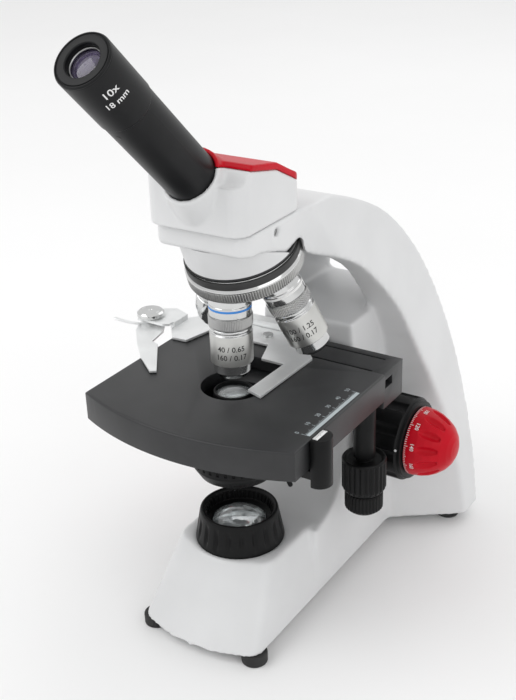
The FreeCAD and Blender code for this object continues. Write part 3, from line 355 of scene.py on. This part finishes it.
def lathe_mesh(profile, segments=96, ripple=None):
    """A turned shape about its own Z, in millimetres; ripple(height, angle) adds to a radius."""
    mesh = bpy.data.meshes.new("turned")
    shape = bmesh.new()
    rings = []
    for radius, height in profile:
        if radius < 1e-4:
            rings.append([shape.verts.new((0, 0, height * MM))])
            continue
        ring = []
        for index in range(segments):
            angle = 2 * math.pi * index / segments
            reach = radius + (ripple(radius, height, angle) if ripple else 0.0)
            ring.append(shape.verts.new((reach * math.cos(angle) * MM,
                                         reach * math.sin(angle) * MM, height * MM)))
        rings.append(ring)
    for low, high in zip(rings, rings[1:]):
        for index in range(segments):
            after = (index + 1) % segments
            corners = []
            for ring, spot in ((low, index), (low, after), (high, after), (high, index)):
                vertex = ring[0] if len(ring) == 1 else ring[spot]
                if vertex not in corners:
                    corners.append(vertex)
            if len(corners) > 2:
                shape.faces.new(corners)
    bmesh.ops.recalc_face_normals(shape, faces=shape.faces)
    shape.to_mesh(mesh)
    shape.free()
    return mesh


def closed(profile):
    """A profile that ends where it starts."""
    return list(profile) + [profile[0]]


def lathe(name, profile, finish, body, matrix, segments=96, ripple=None, soft=0.25,
          crease=32):
    """A turned piece from (radius, height) points in millimetres, its corners run round."""
    shape = rounded(profile, soft) if soft else profile
    return add_piece(name, lathe_mesh(shape, segments, ripple), finish, body, matrix,
                     crease)


def text_mesh(words, height, weight=0.0):
    """Flat numerals in millimetres, centred on the origin; weight thickens their strokes."""
    curve = bpy.data.curves.new("numerals", "FONT")
    curve.body = words
    curve.size = height * 1.38
    curve.offset = weight
    curve.align_x = "CENTER"
    curve.align_y = "CENTER"
    curve.resolution_u = 3
    holder = bpy.data.objects.new("numerals", curve)
    scene.collection.objects.link(holder)
    mesh = evaluated_copy(holder)
    bpy.data.objects.remove(holder)
    return mesh


def wrapped_text(name, words, height, radius, level, turn, finish, body, matrix):
    """Numerals wrapped round a barrel about its own Z."""
    mesh = text_mesh(words, height, INK_WEIGHT)
    for vertex in mesh.vertices:
        angle = math.radians(turn) + vertex.co.x / radius
        reach = (radius + INK_STAND_OFF) * MM
        vertex.co = (reach * math.cos(angle), reach * math.sin(angle),
                     (level + vertex.co.y) * MM)
    add_piece(name, mesh, finish, body, matrix)


def box_mesh(corners):
    """Boxes in millimetres, each (x0, x1, y0, y1, z0, z1), joined into one mesh."""
    mesh = bpy.data.meshes.new("boxes")
    shape = bmesh.new()
    for x0, x1, y0, y1, z0, z1 in corners:
        spots = [shape.verts.new((x * MM, y * MM, z * MM)) for z in (z0, z1)
                 for x, y in ((x0, y0), (x1, y0), (x1, y1), (x0, y1))]
        for face in ((3, 2, 1, 0), (4, 5, 6, 7), (0, 1, 5, 4), (1, 2, 6, 5), (2, 3, 7, 6),
                     (3, 0, 4, 7)):
            shape.faces.new([spots[index] for index in face])
    shape.to_mesh(mesh)
    shape.free()
    return mesh


def joined(meshes):
    """Several meshes as one."""
    shape = bmesh.new()
    for mesh in meshes:
        shape.from_mesh(mesh)
    result = bpy.data.meshes.new("joined")
    shape.to_mesh(result)
    shape.free()
    return result


def place_on(origin, direction):
    """A matrix whose local Z points along a direction from an origin."""
    turn = Vector((0, 0, 1)).rotation_difference(direction.normalized())
    return Matrix.Translation(origin) @ turn.to_matrix().to_4x4()


# ------------------------------------------------------------------ stand

NOSE_LEVEL = 208
NOSE_DEPTH = 42
BORE_LEVELS = (60, 100)
BORE_DEPTHS = (70, 100)
BORE_ACROSS = 25


def stand_softness(point):
    """The nose and bores stay crisp; the arm, column and base run into each other softly."""
    height = point.z / MM
    across = abs(point.x - AXIS.x) / MM
    depth = (point.y - AXIS.y) / MM
    if height > NOSE_LEVEL and depth < NOSE_DEPTH:
        return 0.12
    if (BORE_LEVELS[0] < height < BORE_LEVELS[1] and BORE_DEPTHS[0] < depth < BORE_DEPTHS[1]
            and across > BORE_ACROSS):
        return 0.15
    return 1.0


cast_skin("stand_skin", "stand", 1.3, 14, WHITE, stand_softness)
cast_skin("head_skin", "head_housing", 0.8, 6, WHITE)
cast_skin("cap_skin", "red_cap", 0.6, 5, RED)
softened("feet_soft", "rubber_feet", 0.8, RUBBER)
softened("base_plate_soft", "base_plate", 0.4, PLASTIC)

# ------------------------------------------------------------------ turned pieces and numerals

def across_profile(profile, level):
    """The radius of a profile at a level."""
    for (r0, z0), (r1, z1) in zip(profile, profile[1:]):
        if min(z0, z1) <= level <= max(z0, z1) and z0 != z1:
            return r0 + (r1 - r0) * (level - z0) / (z1 - z0)
    return profile[0][0]


def stepped(profile, pitch):
    """A profile with more points, so that a ripple can follow it."""
    result = [profile[0]]
    for start, end in zip(profile, profile[1:]):
        a, b = Vector(start), Vector(end)
        count = max(1, round((b - a).length / pitch))
        result += [tuple(a.lerp(b, step / count)) for step in range(1, count + 1)]
    return result


def straight_knurl(teeth, depth, low, high):
    """Ridges along the axis between two levels."""
    def ripple(radius, height, angle):
        if not low < height < high:
            return 0.0
        return -depth * (0.5 + 0.5 * math.cos(teeth * angle)) ** 2
    return ripple


def diamond_knurl(teeth, depth, low, high):
    """Two sets of slanted grooves that cross."""
    def ripple(radius, height, angle):
        if not low < height < high:
            return 0.0
        one = abs(math.cos(teeth * angle / 2 + height * 2.4))
        other = abs(math.cos(teeth * angle / 2 - height * 2.4))
        return -depth * max(one, other) ** 4
    return ripple


# ------------------------------------------------------------------ eyepiece and tube

EYE = at(0, -92.58, 321.38)
TUBE_AXIS = Vector(joints["eyepiece_slide"]["axis"]).normalized()
TUBE_UNDERSIDE = Vector((0, -0.701, -0.713))
TUBE_RADIUS = 11.5
SCREW_DOWN_TUBE = 37.6
tube_matrix = place_on(EYE, TUBE_AXIS)

BARREL = [(9.9, -58.7), (11.55, -58.7), (11.55, -32.9), (12.6, -32.7), (13.1, -32.0), (13.1, -1.5),
          (13.02, -1.3), (13.02, -1.1), (13.1, -0.9), (12.7, -0.1), (12.3, 0.0), (12.0, -0.6),
          (11.7, -0.6), (11.5, -0.15), (8.3, -0.15), (7.9, -0.6), (7.9, -4.6), (9.9, -5.0),
          (9.9, -58.7)]
barrel = lathe("eyepiece_shell", BARREL, TUBE_BLACK, "eyepiece_body", tube_matrix,
               segments=160, soft=0.18)
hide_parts("eyepiece_barrel", "eyepiece_rim")
RETAINER = [(7.9, -4.0), (7.9, -2.9), (7.3, -2.7), (7.0, -3.1), (7.2, -4.0)]
lathe("eye_lens_retainer", closed(RETAINER), DARK_STEEL, "eyepiece_body",
      tube_matrix, segments=120, soft=0.1)
for words, height, level in (("10x", 3.8, -10.6), ("18 mm", 3.1, -16.4)):
    wrapped_text("eyepiece_numerals_" + words.replace(" ", "_"), words, height, 13.1, level, -33,
                 INK_WHITE, "eyepiece_body", tube_matrix)

screw = lathe("tube_screw_socket", closed([(0.0, 0.35), (0.7, 0.35), (1.3, 1.3), (0.0, 1.3)]),
              BLACK_INK_AND_SHADE, "head_body",
              place_on(EYE - TUBE_AXIS * SCREW_DOWN_TUBE * MM + TUBE_UNDERSIDE * TUBE_RADIUS * MM,
                       TUBE_UNDERSIDE), segments=32, soft=0.1)
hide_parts("tube_grub_screw")

# ------------------------------------------------------------------ nosepiece and objectives

SHOULDER_LEVEL = 189.4
GRIP_DROP = 3.4
turret_axis = Vector(joints["turret_spin"]["axis"]).normalized()
turret_spot = at(0, 14.4, 201.5)
turret_up = turret_axis if turret_axis.z > 0 else -turret_axis
turret_matrix = place_on(turret_spot - turret_up * GRIP_DROP * MM, turret_up)
GRIP = [(28.76, 0.0), (29.5, 0.0), (30.1, 0.7), (30.1, 5.6), (29.7, 5.9), (30.0, 6.2), (30.0, 6.6),
        (28.9, 8.3), (28.76, 8.4), (28.76, 0.0)]
grip = lathe("turret_grip_ring", stepped(rounded(GRIP, 0.25), 0.9), KNURLED, "turret_body",
             turret_matrix, segments=840,
             ripple=straight_knurl(140, 0.75, 0.5, 5.7), soft=0, crease=70)
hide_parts("turret_grip")
BEVEL = [(30.05, 5.9), (30.1, 6.1), (30.1, 6.6), (28.95, 8.4), (28.8, 8.2), (29.6, 5.9)]
# Painted shade: a black ring stands in for the shadowed gap between the nosepiece cone and the grip's chrome
# bevel.
GAP_SHADE_BAND = [(28.8, 7.0), (29.35, 7.0), (29.35, 11.6), (28.8, 11.6)]
lathe("turret_grip_bevel", closed(BEVEL), CHROME, "turret_body", turret_matrix,
      segments=200, soft=0.2)
lathe("turret_gap_painted_shade", closed(GAP_SHADE_BAND), BLACK_INK_AND_SHADE, "turret_body", turret_matrix,
      segments=160, soft=0.1)


def station(turn):
    """The shoulder of the objective that stands at this turn of the nosepiece."""
    spin = Matrix.Rotation(math.radians(turn), 4, turret_axis)
    return (Matrix.Translation(turret_spot) @ spin @ Matrix.Translation(-turret_spot)
            @ Matrix.Translation(at(0, 0, SHOULDER_LEVEL)))


OBJECTIVE_RADIUS = 10.98
FIRST_LINE = -26.6
LINE_PITCH = 4.6
FACING = -57             # where the numerals stand on a barrel, in degrees


def objective(node, length, tip, turn, band, words, satin, knurl):
    """One objective: barrel, coloured band, knurled ring and numerals; a long one has a sprung
    nose, and a satin one a brushed sleeve."""
    place = station(turn)
    drop = -length
    head_part = [(5.2, 4.2), (10.0, 4.2), (10.0, 0.1), (10.5, 0.0), (10.5, -4.4), (10.9, -4.9),
                 (10.9, -10.3), (10.5, -10.6), (10.5, -16.4), (10.2, -16.7), (10.9, -17.3),
                 (10.9, -18.3), (10.3, -18.6), (10.3, -19.5), (10.9, -19.9)]
    if length > 30:
        tail = [(10.9, drop + 7.9), (9.7, drop + 7.6), (9.7, drop + 2.9), (tip, drop + 0.2),
                (tip - 0.3, drop), (tip - 3.0, drop), (tip - 3.2, drop + 2.6), (5.2, drop + 4),
                (5.2, 4.2)]
    else:
        tail = [(10.9, drop + 3.6), (tip, drop + 0.3), (tip - 0.3, drop), (tip - 3, drop),
                (tip - 3.2, drop + 2), (5.2, drop + 4), (5.2, 4.2)]
    body = lathe(node + "_barrel", head_part + tail, CHROME, "turret_body", place,
                 segments=128, soft=0.22)
    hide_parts(node)
    lathe(node + "_band", closed([(10.6, -5.7), (11.0, -5.7), (11.0, -6.9), (10.6, -6.9)]), band,
          "turret_body", place, segments=128, soft=0.05)
    ring = [(10.4, -10.9), (11.35, -10.9), (11.35, -16.2), (10.4, -16.2), (10.4, -10.9)]
    lathe(node + "_knurl", stepped(rounded(ring, 0.2), 0.28), KNURLED, "turret_body",
          place, segments=480, ripple=knurl, soft=0, crease=50)
    if satin:
        sleeve = [(10.6, -20.1), (10.97, -20.1), (10.97, drop + 8.1), (10.6, drop + 8.1)]
        lathe(node + "_sleeve", closed(sleeve), SATIN_SLEEVE, "turret_body", place,
              segments=128, soft=0.08)
    for index, line in enumerate(words):
        wrapped_text("%s_numerals_%d" % (node, index), line, 2.9, OBJECTIVE_RADIUS,
                     FIRST_LINE - LINE_PITCH * index, FACING - turn, BLACK_INK_AND_SHADE, "turret_body",
                     place)


FINE = straight_knurl(80, 0.34, -16.3, -10.8)
CROSS = diamond_knurl(44, 0.5, -16.3, -10.8)
objective("objective_40x", 44.3, 7.7, 0, BLUE, ("40 / 0.65", "160 / 0.17"), True, FINE)
objective("objective_100x", 44.6, 7.0, 90, PALE_BAND, ("100 / 1.25", "160 / 0.17"), True, CROSS)
objective("objective_4x", 26.0, 9.6, 180, RED, (), False, CROSS)
objective("objective_10x", 37.6, 8.6, -90, YELLOW, ("10 / 0.25",), False, CROSS)

# ------------------------------------------------------------------ illuminator collar

FLUTES = 20
FLUTE_FOOT = 3.2
FLUTE_LENGTH = 13.2
FLUTE_DEPTH = 1.15
RIBS = 40
RIB_DEPTH = 0.75


def collar_ripple(radius, height, angle):
    """Shallow lens-shaped flutes outside and short ribs under the rim inside."""
    if radius > 20.4 and FLUTE_FOOT < height < FLUTE_FOOT + FLUTE_LENGTH:
        along = math.sin(math.pi * (height - FLUTE_FOOT) / FLUTE_LENGTH)
        return -FLUTE_DEPTH * along * max(0.0, math.cos(FLUTES * angle)) ** 1.5
    if radius < 19.2 and 13.0 < height < 17.6:
        return -RIB_DEPTH if math.cos(RIBS * angle) > 0.1 else 0.0
    return 0.0


COLLAR = [(16.9, 0.0), (23.8, 0.0), (24.2, 0.5), (24.2, 2.4), (21.3, 18.2), (20.9, 19.1),
          (19.9, 19.3), (19.2, 18.6), (18.6, 17.8), (17.6, 12.6), (14.95, 11.6), (14.95, 9.7),
          (16.9, 9.6), (16.9, 0.0)]
collar_matrix = Matrix.Translation(at(0, 0, 45.1))
collar = lathe("lamp_collar_fluted", stepped(rounded(COLLAR, 0.3), 0.8), PLASTIC, "stand_body",
               collar_matrix, segments=480, ripple=collar_ripple, soft=0,
               crease=50)
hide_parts("lamp_collar")

REFLECTOR = [(3.0, 42.9), (8.0, 43.4), (12.4, 47.4), (14.2, 54.3), (13.9, 54.3), (12.0, 47.9),
             (7.8, 44.0), (3.0, 43.4)]
lathe("lamp_reflector", closed(REFLECTOR), CHROME, "stand_body",
      Matrix.Translation(at(0, 0, 0)), segments=96)

# ------------------------------------------------------------------ focus knobs

softened("coarse_knobs_soft", "coarse_knobs", 0.8, PLASTIC)
BELL = [(2.6, 9.0), (2.6, 0.0), (19.2, 0.0), (19.6, 0.3), (19.5, 3.0), (18.9, 7.0), (17.6, 11.0),
        (15.5, 15.0), (12.6, 18.6), (9.2, 21.2), (5.6, 22.8), (2.6, 23.3), (0.0, 23.4)]


FOCUS_DEPTH = 85
FOCUS_LEVEL = 81
BELL_FOOT = 65.3
HOLLOWS = 12
HOLLOW_MIDDLE = 12.2
HOLLOW_REACH = 5.6
HOLLOW_WIDTH = 2.2
HOLLOW_DEPTH = 2.3


def bell_ripple(radius, height, angle):
    """Long finger hollows round the bell."""
    along = (height - HOLLOW_MIDDLE) / HOLLOW_REACH
    if radius < 3 or abs(along) >= 1:
        return 0.0
    turn = (angle * HOLLOWS / (2 * math.pi)) % 1.0 - 0.5
    width = HOLLOW_WIDTH * math.sqrt(1 - along * along) + 0.4
    side = turn * 2 * math.pi / HOLLOWS * radius / width
    if abs(side) >= 1:
        return 0.0
    return -HOLLOW_DEPTH * (1 - along * along) ** 0.5 * (1 - side * side)


def on_bell(mesh, level, turn):
    """Wraps flat marks round the bell's rim at a level."""
    for vertex in mesh.vertices:
        height = level + vertex.co.y
        radius = across_profile(BELL[2:], height) + 0.06
        angle = math.radians(turn) + vertex.co.x / radius
        vertex.co = (radius * math.cos(angle) * MM, radius * math.sin(angle) * MM, height * MM)
    return mesh


def strip_mesh(width, low, high):
    """One tick, in millimetres, before it is wrapped round the bell."""
    mesh = bpy.data.meshes.new("tick")
    mesh.from_pydata([(-width / 2, low, 0), (width / 2, low, 0), (width / 2, high, 0),
                      (-width / 2, high, 0)], [], [(0, 1, 2, 3)])
    return mesh


def bell_scale():
    """A hundred ticks and the numbers 0 to 180 round the rim."""
    marks = []
    for index in range(100):
        reach = 2.5 if index % 10 == 0 else (2.0 if index % 5 == 0 else 1.5)
        marks.append(on_bell(strip_mesh(0.36, 0.4, reach), 0, 3.6 * index))
    for index in range(10):
        marks.append(on_bell(text_mesh(str(20 * index), 2.2, 0.04), 4.8, 36 * index))
    return joined(marks)


for side, label in ((1, "right"), (-1, "left")):
    matrix = place_on(at(side * BELL_FOOT, FOCUS_DEPTH, FOCUS_LEVEL), Vector((side, 0, 0)))
    bell = lathe("fine_knob_" + label, stepped(rounded(BELL, 0.4), 0.6), RED, "fine_drive",
                 matrix, segments=480, ripple=bell_ripple, soft=0, crease=60)
    if side == 1:
        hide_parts("fine_knobs")
    add_piece("fine_knob_scale_" + label, bell_scale(), INK_WHITE, "fine_drive",
              matrix)
    dot = lathe_mesh([(0.75, 0.0), (0.75, 0.12), (0.0, 0.2)], 24)
    outward = Vector((0, -0.98, 0.18)).normalized()
    add_piece("coarse_index_dot_" + label, dot, INK_WHITE, "coarse_drive",
              place_on(at(side * 62.8, FOCUS_DEPTH, FOCUS_LEVEL) + outward * 23.7 * MM, outward))

# ------------------------------------------------------------------ stage controls

def ribbed(teeth, depth, low, high, least):
    """Rounded ribs between grooves, on the outside only."""
    def ripple(radius, height, angle):
        if radius < least or not low < height < high:
            return 0.0
        return -depth * (0.5 + 0.5 * math.cos(teeth * angle)) ** 1.5
    return ripple


CONTROL_ACROSS = 54
CONTROL_DEPTH = 42
Y_KNOB_FOOT = 69.2
X_KNOB_FOOT = 56.7
Y_KNOB = [(2.54, 0.0), (10.4, 0.0), (12.1, 2.6), (12.1, 19.4), (11.4, 20.4), (10.7, 20.3),
          (9.6, 18.9), (4.0, 18.7), (4.0, 55.4), (7.2, 55.4), (7.2, 60.4), (2.54, 60.4),
          (2.54, 0.0)]
X_KNOB = [(0.0, 0.0), (7.9, 0.0), (10.5, 2.2), (10.5, 11.0), (9.6, 12.0), (2.5, 12.0),
          (2.5, 73.6), (5.4, 73.6), (5.4, 78.0), (0.0, 78.0)]
big = lathe("y_knob_ribbed", stepped(rounded(Y_KNOB, 0.5), 1.0), PLASTIC, "y_control",
            Matrix.Translation(at(CONTROL_ACROSS, CONTROL_DEPTH, Y_KNOB_FOOT)),
            segments=288,
            ripple=ribbed(24, 0.75, 1.6, 19.2, 10), soft=0, crease=50)
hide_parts("y_knob")
small = lathe("x_knob_ribbed", stepped(rounded(X_KNOB, 0.4), 1.0), PLASTIC, "x_control",
              Matrix.Translation(at(CONTROL_ACROSS, CONTROL_DEPTH, X_KNOB_FOOT)),
              segments=320,
              ripple=ribbed(32, 0.5, 1.2, 11.4, 8), soft=0, crease=50)
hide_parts("x_knob")
softened("control_housing_soft", "control_housing", 0.4, PLASTIC)

# ------------------------------------------------------------------ stage, scale and holder

softened("stage_plate", "stage_top", 0.7, BLACK)
softened("guide_bar_soft", "x_guide_bar", 0.5, BLACK)
softened("stage_bracket_soft", "stage_bracket", 0.5, BLACK)
softened("stage_base_soft", "stage_base", 0.4, BLACK)
softened("index_post", "y_vernier", 0.6, PLASTIC)
softened("holder_plate", "slide_holder", 0.3, STEEL)
softened("holder_finger_plate", "holder_finger", 0.3, STEEL)

# The pivot button: a bevelled disc with a turned groove and a centre dimple, on its pin.
PIVOT_ACROSS = -84
PIVOT_DEPTH = 41
BUTTON_HEIGHT = 3.6
pivot_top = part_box("finger_pivot")[1].z
BUTTON = [(0.0, 3.0), (0.9, 3.0), (1.3, 3.45), (5.0, 3.5), (5.3, 3.3), (5.6, 3.45), (6.7, 3.4),
          (7.9, 2.4), (7.95, 0.5), (7.4, 0.2), (7.4, -0.1), (2.0, -0.1), (2.0, -4.9), (0.0, -4.9)]
button = lathe("finger_button", BUTTON, CHROME, BODY_OF["finger_pivot"],
               Matrix.Translation(Vector((AXIS.x + PIVOT_ACROSS * MM, AXIS.y + PIVOT_DEPTH * MM,
                                          pivot_top - BUTTON_HEIGHT * MM))),
               segments=128, soft=0.12)
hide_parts("finger_pivot")


STRIP_STEPS = 20
STRIP_SIDES = 16


def bent_strip(points, half_width, half_height):
    """A flattened rod with round ends along a bend through three points, in millimetres."""
    start, corner, end = (Vector(point) for point in points)
    shape = bmesh.new()
    rings = []
    for step in range(STRIP_STEPS + 1):
        t = step / STRIP_STEPS
        spot = start * (1 - t) ** 2 + corner * 2 * t * (1 - t) + end * t * t
        heading = ((corner - start) * (1 - t) + (end - corner) * t).normalized()
        beside = heading.cross(Vector((0, 0, 1))).normalized()
        above = beside.cross(heading)
        close = min(t, 1 - t) * (end - start).length / half_width
        shrink = math.sqrt(max(0.04, 1 - max(0.0, 1 - close) ** 2))
        ring = []
        for index in range(STRIP_SIDES):
            angle = 2 * math.pi * index / STRIP_SIDES
            offset = (beside * math.cos(angle) * half_width
                      + above * math.sin(angle) * half_height) * shrink
            ring.append(shape.verts.new((spot + offset) * MM))
        rings.append(ring)
    for low, high in zip(rings, rings[1:]):
        for index in range(STRIP_SIDES):
            after = (index + 1) % STRIP_SIDES
            shape.faces.new((low[index], low[after], high[after], high[index]))
    shape.faces.new(reversed(rings[0]))
    shape.faces.new(rings[-1])
    bmesh.ops.recalc_face_normals(shape, faces=shape.faces)
    mesh = bpy.data.meshes.new("strip")
    shape.to_mesh(mesh)
    shape.free()
    return mesh


finger_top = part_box("holder_finger")[1].z
LEVER = ((-85.5, 33.5, 0.6), (-91.5, 26.6, 3.2), (-99.3, 26.2, 4.6))
add_piece("finger_lever", bent_strip(LEVER, 1.35, 0.7),
          STEEL, BODY_OF["holder_finger"],
          Matrix.Translation(Vector((AXIS.x, AXIS.y, finger_top))))


SCALE_START = -26.6
SCALE_LENGTH = 50
SCALE_EDGE = 58.9
SCALE_LEVEL = 138.06
TICK_HALF = 0.13


def flat_scale():
    """A 50 mm scale beside the stage's right edge: a grey strip, ticks and numbers."""
    marks = [flat_bar(SCALE_EDGE, SCALE_EDGE + 2.0, SCALE_START, SCALE_START + SCALE_LENGTH)]
    for index in range(SCALE_LENGTH + 1):
        reach = 2.6 if index % 10 == 0 else (1.7 if index % 5 == 0 else 1.0)
        tick = SCALE_START + index
        marks.append(flat_bar(SCALE_EDGE - reach, SCALE_EDGE + 0.05, tick - TICK_HALF,
                              tick + TICK_HALF))
    for index in range(6):
        number = text_mesh(str(10 * index), 2.3)
        for vertex in number.vertices:
            x, y = vertex.co.x, vertex.co.y
            vertex.co = ((53.9 - y) * MM, (SCALE_START + 10 * index + x) * MM, 0)
        marks.append(number)
    return joined(marks)


def flat_bar(x0, x1, y0, y1):
    """One flat rectangle of ink, in millimetres."""
    mesh = bpy.data.meshes.new("bar")
    mesh.from_pydata([(x * MM, y * MM, 0) for x, y in ((x0, y0), (x1, y0), (x1, y1), (x0, y1))],
                     [], [(0, 1, 2, 3)])
    return mesh


VERNIER_START = -29.1
VERNIER_STEP = 0.9
VERNIER_HALF = 0.1


def index_label():
    """The index plate's fine lines."""
    marks = []
    for index in range(11):
        line = VERNIER_START + VERNIER_STEP * index
        marks.append(flat_bar(64.1, 66.0 if index % 5 == 0 else 65.3, line - VERNIER_HALF,
                              line + VERNIER_HALF))
    return joined(marks)


add_piece("stage_scale", flat_scale(), SCALE_INK, "cross_slide",
          Matrix.Translation(at(0, 0, SCALE_LEVEL)))
post_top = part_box("y_vernier")[1].z
label_mesh = box_mesh([(64.0, 66.7, -29.6, -19.8, 0, 0.35)])
add_piece("index_plate", label_mesh, INK_WHITE, BODY_OF["y_vernier"],
          Matrix.Translation(Vector((AXIS.x, AXIS.y, post_top - 0.3 * MM))))
add_piece("index_lines", index_label(), BLACK_INK_AND_SHADE, BODY_OF["y_vernier"],
          Matrix.Translation(Vector((AXIS.x, AXIS.y, post_top + 0.08 * MM))))
softened("condenser_mount_soft", "condenser_mount", 0.5, PLASTIC)
softened("condenser_soft", "condenser_body", 0.4, PLASTIC)
softened("iris_ring_soft", "iris_ring", 0.35, PLASTIC)

# ------------------------------------------------------------------ camera and surroundings

add_camera()
LIGHT_AIM = (10, 30, 150)
LIGHTS = (("key", (-900, -900, 1500), 1.4, 9), ("side", (1300, -500, 900), 1.2, 3),
          ("back", (300, 1400, 1300), 1.4, 4))   # name, place, width in metres and watts
SKY_STRENGTH = 0.86
for name, place, width, watts in LIGHTS:
    add_light(name, at(*place), at(*LIGHT_AIM), width, watts)
world = bpy.data.worlds.new("studio")
world.use_nodes = True
world.node_tree.nodes["Background"].inputs["Color"].default_value = (1, 1, 1, 1)
world.node_tree.nodes["Background"].inputs["Strength"].default_value = SKY_STRENGTH
scene.world = world
scene.view_settings.view_transform = "Standard"

FLOOR = material("pale_floor", (0.90, 0.90, 0.90), (0.92, 0.92, 0.92), 0.7, mottle=2, grain=40,
                 bump=0.02)
FLOOR_HALF = 6000
floor_mesh = box_mesh([(-FLOOR_HALF, FLOOR_HALF, -FLOOR_HALF, FLOOR_HALF, -20, 0)])
floor = bpy.data.objects.new("floor", floor_mesh)
scene.collection.objects.link(floor)
dress(floor, FLOOR)
